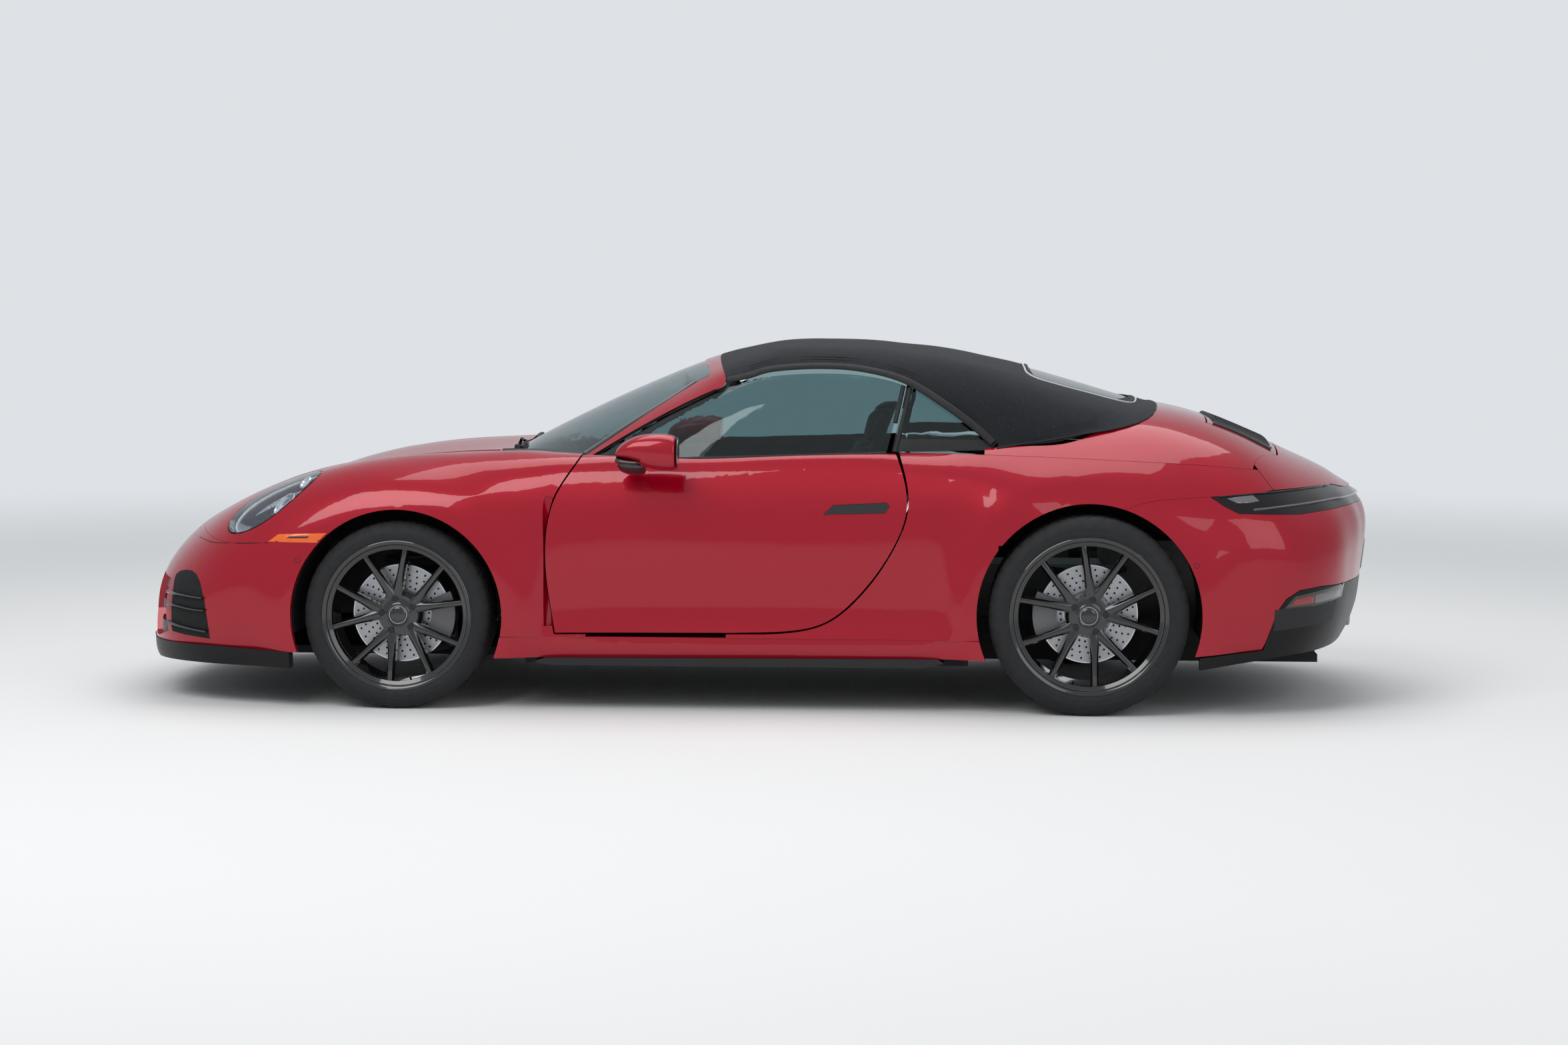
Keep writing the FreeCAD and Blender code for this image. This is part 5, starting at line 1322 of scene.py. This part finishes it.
turning = sum(
    x0 * y1 - x1 * y0 for (x0, y0), (x1, y1) in zip(window_loop, window_loop[1:] + window_loop[:1]))
outward = -1 if turning > 0 else 1
window_seal = bead(
    "rear_window_seal", [(roof, "top", x, y) for x, y in grown(window_loop, outward * 7)], 16, 9, seal,
    "body", lift=1.0, closed=True)
window_piping = bead(
    "rear_window_piping", [(roof, "top", x, y) for x, y in grown(window_loop, outward * 18)], 7, 7, binding,
    "body", lift=2.4, closed=True)
skirt_tree = tree_of("top_cover", "soft_top", "rear_lid")
skirt_edge = [
    drop(skirt_tree, "photo", *p)
    for p in traced(
        [
            (545, 438), (700, 415), (780, 408), (920, 387), (1000, 370), (1060, 354), (1100, 340),
            (1135, 322), (1155, 306), (1168, 285), (1170, 270)],
        560, 220, 6)]
skirt_outer = [(h[0].x * 1000, h[0].y * 1000) for h in skirt_edge if h] + [(1488, -110), (1490, 0)]
skirt_inner = [
    (905, -727), (1000, -712), (1080, -694), (1160, -668), (1240, -625), (1290, -575), (1320, -530),
    (1358, -440), (1380, -300), (1425, -90), (1425, 0)]


def evenly(line, count):
    """a line's places at even steps of its length"""
    spots = [Vector(p) for p in line]
    reach = [0.0]
    for a, b in zip(spots, spots[1:]):
        reach.append(reach[-1] + (b - a).length)
    out = []
    k = 0
    for i in range(count):
        want = reach[-1] * i / (count - 1)
        while k < len(spots) - 2 and reach[k + 1] < want:
            k += 1
        out.append(spots[k].lerp(spots[k + 1], (want - reach[k]) / (reach[k + 1] - reach[k])))
    return out


def draped(name, tree, outer, inner, across, lift, look, body, slot):
    """cloth from an outer line to an inner one, nowhere below what it lies on; also gives its outer edge"""
    rows = []
    for a, b in zip(outer, inner):
        rows.append([a.lerp(b, k / (across - 1)) for k in range(across)])
    floor = []
    for row in rows:
        heights = []
        for p in row:
            hit = drop(tree, "top", p.x, p.y)
            heights.append(hit[0].z if hit else -1.0)
        floor.append(heights)
    count = len(rows)
    for heights in floor:
        known = [h for h in heights if h > 0]
        for k, h in enumerate(heights):
            if h < 0:
                heights[k] = min(known)
    level = [list(heights) for heights in floor]
    for _ in range(60):
        fresh = [list(heights) for heights in level]
        for i in range(1, count - 1):
            for k in range(across):
                sides = level[i - 1][k] + level[i + 1][k]
                if 0 < k < across - 1:
                    mean = (sides + level[i][k - 1] + level[i][k + 1]) / 4
                else:
                    mean = sides / 2
                fresh[i][k] = max(mean, floor[i][k])
        level = fresh
    verts = [
        Vector((p.x / 1000, p.y / 1000, height + lift))
        for row, heights in zip(rows, level) for p, height in zip(row, heights)]
    total = len(verts)
    verts += [v - Vector((0, 0, lift + 0.001)) for v in verts]
    faces = []
    for i in range(count - 1):
        for k in range(across - 1):
            a = i * across + k
            faces.append((a, a + 1, a + across + 1, a + across))
            faces.append((total + a, total + a + across, total + a + across + 1, total + a + 1))
    rim = [i * across for i in range(count)] + [(count - 1) * across + k for k in range(1, across)]
    rim += [i * across + across - 1 for i in range(count - 2, -1, -1)] + list(range(across - 2, 0, -1))
    for a, b in zip(rim, rim[1:] + rim[:1]):
        faces.append((a, b, total + b, total + a))
    return make_object(name, verts, faces, look, body, slot), [verts[i * across] for i in range(count)]


half_out = evenly(skirt_outer, 90)
half_in = evenly(skirt_inner, 90)
edge_out = half_out + [Vector((p.x, -p.y)) for p in reversed(half_out[:-1])]
edge_in = half_in + [Vector((p.x, -p.y)) for p in reversed(half_in[:-1])]
skirt, skirt_line = draped(
    "top_fabric_skirt", skirt_tree, edge_out, edge_in, 14, 0.0028, fabric, "body", "top_fabric")
foot_seal = sweep(
    "top_foot_seal", skirt_line, [Vector((0, 0, 1))] * len(skirt_line), oval(0.006, 0.007, 10, -0.002),
    seal, "body")


# Tail lights, rear lid and rear bumper

lamp_back = tree_of("tail_light")


def across_tail(side_places, height):
    """a line round the tail, from one side of the car to the other"""
    return mirrored(
        [(lamp_back, "side", x, z) for x, z in side_places] +
        [(lamp_back, "rear", y, height) for y in (-520, -380, -200, -60)])


blade_places = [(1668, 769), (1720, 775), (1790, 780), (1870, 784), (1950, 788), (2030, 791), (2090, 794)]
bead("tail_blade", across_tail(blade_places, 793), 5, 12, black_gloss, "body", lift=0.5)
strip_places = [(1790, 727), (1840, 731), (1900, 736), (1960, 740), (2030, 745), (2100, 750)]
bead(
    "tail_strip_light", across_tail(strip_places, 750), 7, 15, grey_lens, "body", lift=1.0,
    slot="red_lamp")
element = decal(
    "tail_lens_left", lamp_back, "side",
    [(1698, 766), (1745, 773), (1789, 777), (1812, 757), (1775, 751), (1734, 750)], grey_lens, "body",
    lift=2.4, depth=5, cell=7, slot="clear_lamp")
both(element, "body")

bumper_back = tree_of("rear_bumper", "rear_diffuser")
surround = decal(
    "rear_reflector_frame_left", bumper_back, "side",
    [(1900, 380), (1940, 424), (2030, 440), (2134, 455), (2124, 408), (2026, 386)], black_gloss, "body",
    lift=1.0, depth=4, cell=10)
both(surround, "body")
reflector = decal(
    "rear_reflector_left", bumper_back, "side", [(1916, 389), (1948, 415), (2010, 425), (2006, 397)],
    red_lens, "body", lift=2.6, depth=4, cell=7, round_edge=0.4, slot="red_lamp")
both(reflector, "body")
fog = decal(
    "rear_reflector_grey_left", bumper_back, "side",
    [(2012, 398), (2016, 426), (2028, 428), (2118, 444), (2112, 413), (2024, 397)], grey_lens, "body",
    lift=2.6, depth=4, cell=7, round_edge=0.4, slot="clear_lamp")
both(fog, "body")
recess = decal(
    "diffuser_recess_left", bumper_back, "side", [(1868, 377), (2104, 411), (2086, 324), (1866, 301)],
    black_satin, "body", lift=0.8, depth=3, cell=14)
both(recess, "body")

lid_top = tree_of("rear_lid")
decal(
    "engine_grille_frame", lid_top, "top",
    [(1672, -436), (1890, -456), (1896, 0), (1890, 456), (1672, 436), (1667, 0)], black_gloss, "engine_lid",
    lift=1.2, depth=4, cell=30, round_edge=0.2)
fins = []
for k in range(41):
    y = -412 + k * 20.6
    spots = [(lid_top, "top", x, y + 0.01) for x in (1684, 1740, 1800, 1850, 1880)]
    points, normals = trail(spots, 0.03, 0.0015)
    section = [
        (-0.0028, -0.002), (0.0028, -0.002), (0.0022, 0.0085), (0.0008, 0.0105), (-0.0008, 0.0105),
        (-0.0022, 0.0085)]
    fins.append(sweep("part", points, normals, section, dark_steel, "engine_lid"))
joined("engine_grille_fins", fins, "engine_lid")
rails = []
for y in (-432, 432):
    rails.append(bead(
        "part", [(lid_top, "top", x, y) for x in (1676, 1740, 1800, 1850, 1886)], 12, 14, black_gloss,
        "engine_lid", lift=3.0))
joined("engine_grille_rails", rails, "engine_lid")

decal(
    "third_light", tree_of("top_cover", "spoiler"), "top",
    [(1930, -150), (1946, -150), (1948, 0), (1946, 150), (1930, 150), (1931, 0)], red_lens, "body",
    lift=1.8, depth=4, cell=12)

tips = []
for y in (-0.250, 0.250):
    tips.append(lathe(
        "part",
        [
            (0.0440, -0.060), (0.0475, -0.060), (0.0480, -0.004), (0.0485, 0.002), (0.0470, 0.005),
            (0.0450, 0.004), (0.0438, -0.002)],
        (2.192, y, 0.310), (1, 0, 0), steel, "body", 56, closed_profile=True))
joined("exhaust_lips", tips, "body")
decal(
    "plate_holder", bumper_back, "rear", [(-262, 470), (262, 470), (262, 585), (-262, 585)], black_satin,
    "body", lift=2.0, depth=5, cell=30)
decal(
    "blank_rear_plate", bumper_back, "rear", [(-255, 476), (255, 476), (255, 579), (-255, 579)], plate,
    "body", lift=4.5, depth=4, cell=30)


# Seats

LAST_FRAME = 20
PAD_VOXEL = 0.009
PAD_PRESSURE = 4.0


def own_tree(ob):
    return BVHTree.FromPolygons(
        [v.co.copy() for v in ob.data.vertices], [tuple(p.vertices) for p in ob.data.polygons])


def upright(x, half, z, thick, rise, square, y=-0.380, count=16):
    """level ring of a seat's back, round the seat's middle"""
    return [
        Vector((x + thick * math.sin(a), y + half * squared(math.cos(a), square), z + rise * math.sin(a)))
        for a in turns(count)]


def inflated(ob, cap):
    """the pad swollen by air in its cover, each point moved by no more than the cap"""
    remesh = ob.modifiers.new("even", "REMESH")
    remesh.mode = "VOXEL"
    remesh.voxel_size = PAD_VOXEL
    baked(ob)
    start = [v.co.copy() for v in ob.data.vertices]
    scene = bpy.context.scene
    scene.frame_start, scene.frame_end = 1, LAST_FRAME
    scene.frame_set(1)
    air = ob.modifiers.new("air", "CLOTH")
    air.settings.quality = 5
    air.settings.use_pressure = True
    air.settings.uniform_pressure_force = PAD_PRESSURE
    air.settings.effector_weights.gravity = 0.0
    air.point_cache.frame_start, air.point_cache.frame_end = 1, LAST_FRAME
    for number in range(1, LAST_FRAME + 1):
        scene.frame_set(number)
    baked(ob)
    for vertex, old in zip(ob.data.vertices, start):
        move = vertex.co - old
        if move.length > cap:
            vertex.co = old + move * (cap / move.length)
    scene.frame_set(1)
    return subdivide(ob, 1)


def pad(name, rings, look, cap=0.014):
    ob = inflated(solid(name, rings, look, "body", 2), cap)
    return ob


def seat():
    cushion = pad("seat_cushion_left", [
        oblong(-0.252, -0.520, -0.240, 0.345, 0.430), oblong(-0.235, -0.535, -0.225, 0.330, 0.448),
        oblong(-0.150, -0.538, -0.222, 0.325, 0.452), oblong(0.0, -0.538, -0.222, 0.320, 0.434),
        oblong(0.140, -0.538, -0.222, 0.315, 0.418), oblong(0.205, -0.530, -0.230, 0.320, 0.412)], leather)
    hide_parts("seats")
    back = pad(
        "seat_back_left",
        [
            upright(x + 0.03, w, z, 0.016 * 3.0, 0.012, 0.62)
            for x, z, w in (
                (0.232, 0.455, 0.140), (0.250, 0.500, 0.155), (0.290, 0.620, 0.158), (0.332, 0.760, 0.158),
                (0.368, 0.880, 0.150), (0.385, 0.935, 0.125))],
        leather)
    rest = pad(
        "headrest_left",
        [
            upright(x, w, z, 0.036, 0.010, 0.7)
            for x, z, w in (
                (0.440, 0.948, 0.105), (0.446, 0.965, 0.125), (0.456, 1.005, 0.130), (0.462, 1.040, 0.118),
                (0.464, 1.054, 0.085))],
        leather, cap=0.008)
    sides = []
    for y in (-0.575, -0.185):
        sides.append(solid(
            "part",
            [
                oblong(-0.245, y - 0.022, y + 0.022, 0.350, 0.420),
                oblong(-0.225, y - 0.032, y + 0.032, 0.325, 0.452),
                oblong(-0.100, y - 0.035, y + 0.035, 0.318, 0.478),
                oblong(0.080, y - 0.035, y + 0.035, 0.312, 0.470),
                oblong(0.190, y - 0.033, y + 0.033, 0.305, 0.450),
                oblong(0.212, y - 0.022, y + 0.022, 0.320, 0.430)],
            leather, "body", 2))
        sides.append(solid(
            "part",
            [
                upright(x - 0.018, w, z, 0.050, 0.012, 0.7, y, 12)
                for x, z, w in (
                    (0.270, 0.470, 0.020), (0.285, 0.505, 0.030), (0.318, 0.620, 0.034),
                    (0.358, 0.760, 0.032), (0.392, 0.860, 0.026), (0.405, 0.892, 0.014))],
            leather, "body", 2))
    bolsters = joined("seat_bolsters_left", sides, "body")
    shell_rings = []
    for x, z, w in (
            (0.270, 0.300, 0.200), (0.300, 0.420, 0.212), (0.340, 0.560, 0.214), (0.390, 0.740, 0.210),
            (0.432, 0.880, 0.190), (0.462, 0.960, 0.150), (0.495, 1.040, 0.120), (0.500, 1.060, 0.080)):
        shell_rings.append(upright(x, w, z, 0.016, 0.0, 0.6))
    shell = solid("seat_shell_left", shell_rings, black_satin, "body", 1)
    base = solid("seat_base_left", [
        oblong(-0.215, -0.560, -0.200, 0.235, 0.312), oblong(-0.195, -0.585, -0.175, 0.228, 0.322),
        oblong(0.0, -0.590, -0.170, 0.226, 0.318), oblong(0.235, -0.585, -0.175, 0.228, 0.312),
        oblong(0.262, -0.560, -0.200, 0.240, 0.305)], black_satin, "body", 1)
    rails = joined(
        "seat_rails_left",
        [
            slab_box("part", (-0.205, y, 0.1785), (0.205, y + 0.034, 0.236), dark_steel, "body", 0.004)
            for y in (-0.597, -0.237)],
        "body")
    lines = []
    cushion_tree, back_tree = own_tree(cushion), own_tree(back)
    for y in (-455, -380, -305):
        lines.append(bead(
            "part", [(cushion_tree, "top", x, y) for x in (-225, -150, -60, 30, 120, 190)], 3, 2.5,
            black_satin, "body"))
        lines.append(bead(
            "part", [(back_tree, "front", y, z) for z in (500, 600, 700, 800, 900)], 3, 2.5, black_satin,
            "body"))
    seams = joined("seat_seams_left", lines, "body")
    for ob in (cushion, back, rest, bolsters):
        twin = both(ob, "body")
    for ob in (shell, base, rails, seams):
        both(ob, "body")
    bench = pad("rear_cushion_left", [
        oblong(0.568, -0.520, -0.170, 0.235, 0.385), oblong(0.585, -0.545, -0.145, 0.215, 0.402),
        oblong(0.665, -0.548, -0.142, 0.210, 0.400), oblong(0.745, -0.545, -0.145, 0.215, 0.402),
        oblong(0.760, -0.520, -0.170, 0.235, 0.385)], leather, cap=0.008)
    both(bench, "body")
    foot = slab_box(
        "rear_bench_base_left", (0.564, -0.556, 0.179), (0.766, -0.134, 0.236), carpet, "body", 0.006)
    both(foot, "body")


seat()


# Doors and cabin

door_in = tree_of("door_left")
card = decal(
    "door_card_left", door_in, "inner",
    [
        (-600, 868), (-640, 760), (-650, 470), (-620, 335), (20, 318), (165, 326), (268, 352), (370, 432),
        (478, 585), (522, 730), (505, 868), (480, 893), (200, 884), (-200, 874), (-500, 868)],
    leather, "door_left", lift=11, depth=11, cell=60, round_edge=0.35)
both(card, "door_left")
arm = solid(
    "door_armrest_left",
    [
        [Vector((x, -0.724 + d * 0.5 + d * 0.5 * math.cos(a), z + h * math.sin(a))) for a in turns(12)]
        for x, z, d, h in (
            (-0.330, 0.655, 0.006, 0.020), (-0.310, 0.655, 0.020, 0.034), (-0.150, 0.640, 0.030, 0.040),
            (0.100, 0.640, 0.034, 0.042), (0.330, 0.660, 0.028, 0.038), (0.400, 0.668, 0.010, 0.022))],
    black_satin, "door_left", 2)
both(arm, "door_left")
rear_card = decal(
    "rear_side_card_left", tree_of("rear_quarter_left"), "inner",
    [(575, 880), (700, 893), (850, 905), (850, 700), (700, 640), (600, 620)], leather, "body", lift=3,
    depth=4, cell=50)
both(rear_card, "body")

dash_tree = tree_of("dashboard")
screens = []
for outline in (
        [(-505, 800), (-500, 872), (-240, 872), (-235, 800)],
        [(-130, 742), (-130, 836), (130, 836), (130, 742)]):
    screens.append(decal(
        "part", dash_tree, "rear", outline, dark_glass, "body", lift=3.0, depth=4, cell=30, round_edge=0.4))
joined("dash_screens", screens, "body")
bead(
    "dash_trim_line", [(dash_tree, "rear", y, 700 + 0.02 * abs(y)) for y in range(-640, 641, 80)], 9, 5,
    steel, "body", lift=1.0)
hub_axis = Vector((math.cos(math.radians(23)), 0, math.sin(math.radians(23))))
lathe(
    "wheel_hub_pad",
    [(0.062, -0.012), (0.064, 0.004), (0.058, 0.014), (0.040, 0.021), (0.018, 0.024), (0.0, 0.0245)],
    Vector((-0.300, -0.370, 0.745)) + hub_axis * 0.012, hub_axis, black_satin, "steering_wheel", 48)

solid(
    "inside_mirror",
    [
        [Vector((-0.262 + 0.010 * math.cos(a) + 0.03 * y, y, 1.128 + h * math.sin(a))) for a in turns(12)]
        for y, h in ((-0.118, 0.012), (-0.108, 0.026), (0.0, 0.030), (0.108, 0.026), (0.118, 0.012))],
    black_satin, "body", 2)
glass_foot = drop(tree_of("windshield"), "top", -288, 0)[0].z - 0.012
tube(
    "inside_mirror_arm",
    [(-0.268, 0.0, 1.140), (-0.276, 0.0, (1.140 + glass_foot) / 2), (-0.288, 0.0, glass_foot)], 0.008,
    black_satin, "body", 12, 0.01)

bows = []
for place in bow_places[1:4]:
    spots = mirrored([(roof, "top", place * 1000, y) for y in (-560, -480, -360, -220, -80)])
    points, normals = trail(spots, 0.03, -0.016)
    bows.append(sweep("part", points, normals, oval(0.022, 0.014, 8), black_satin, "body"))
joined("roof_bows", bows, "body")
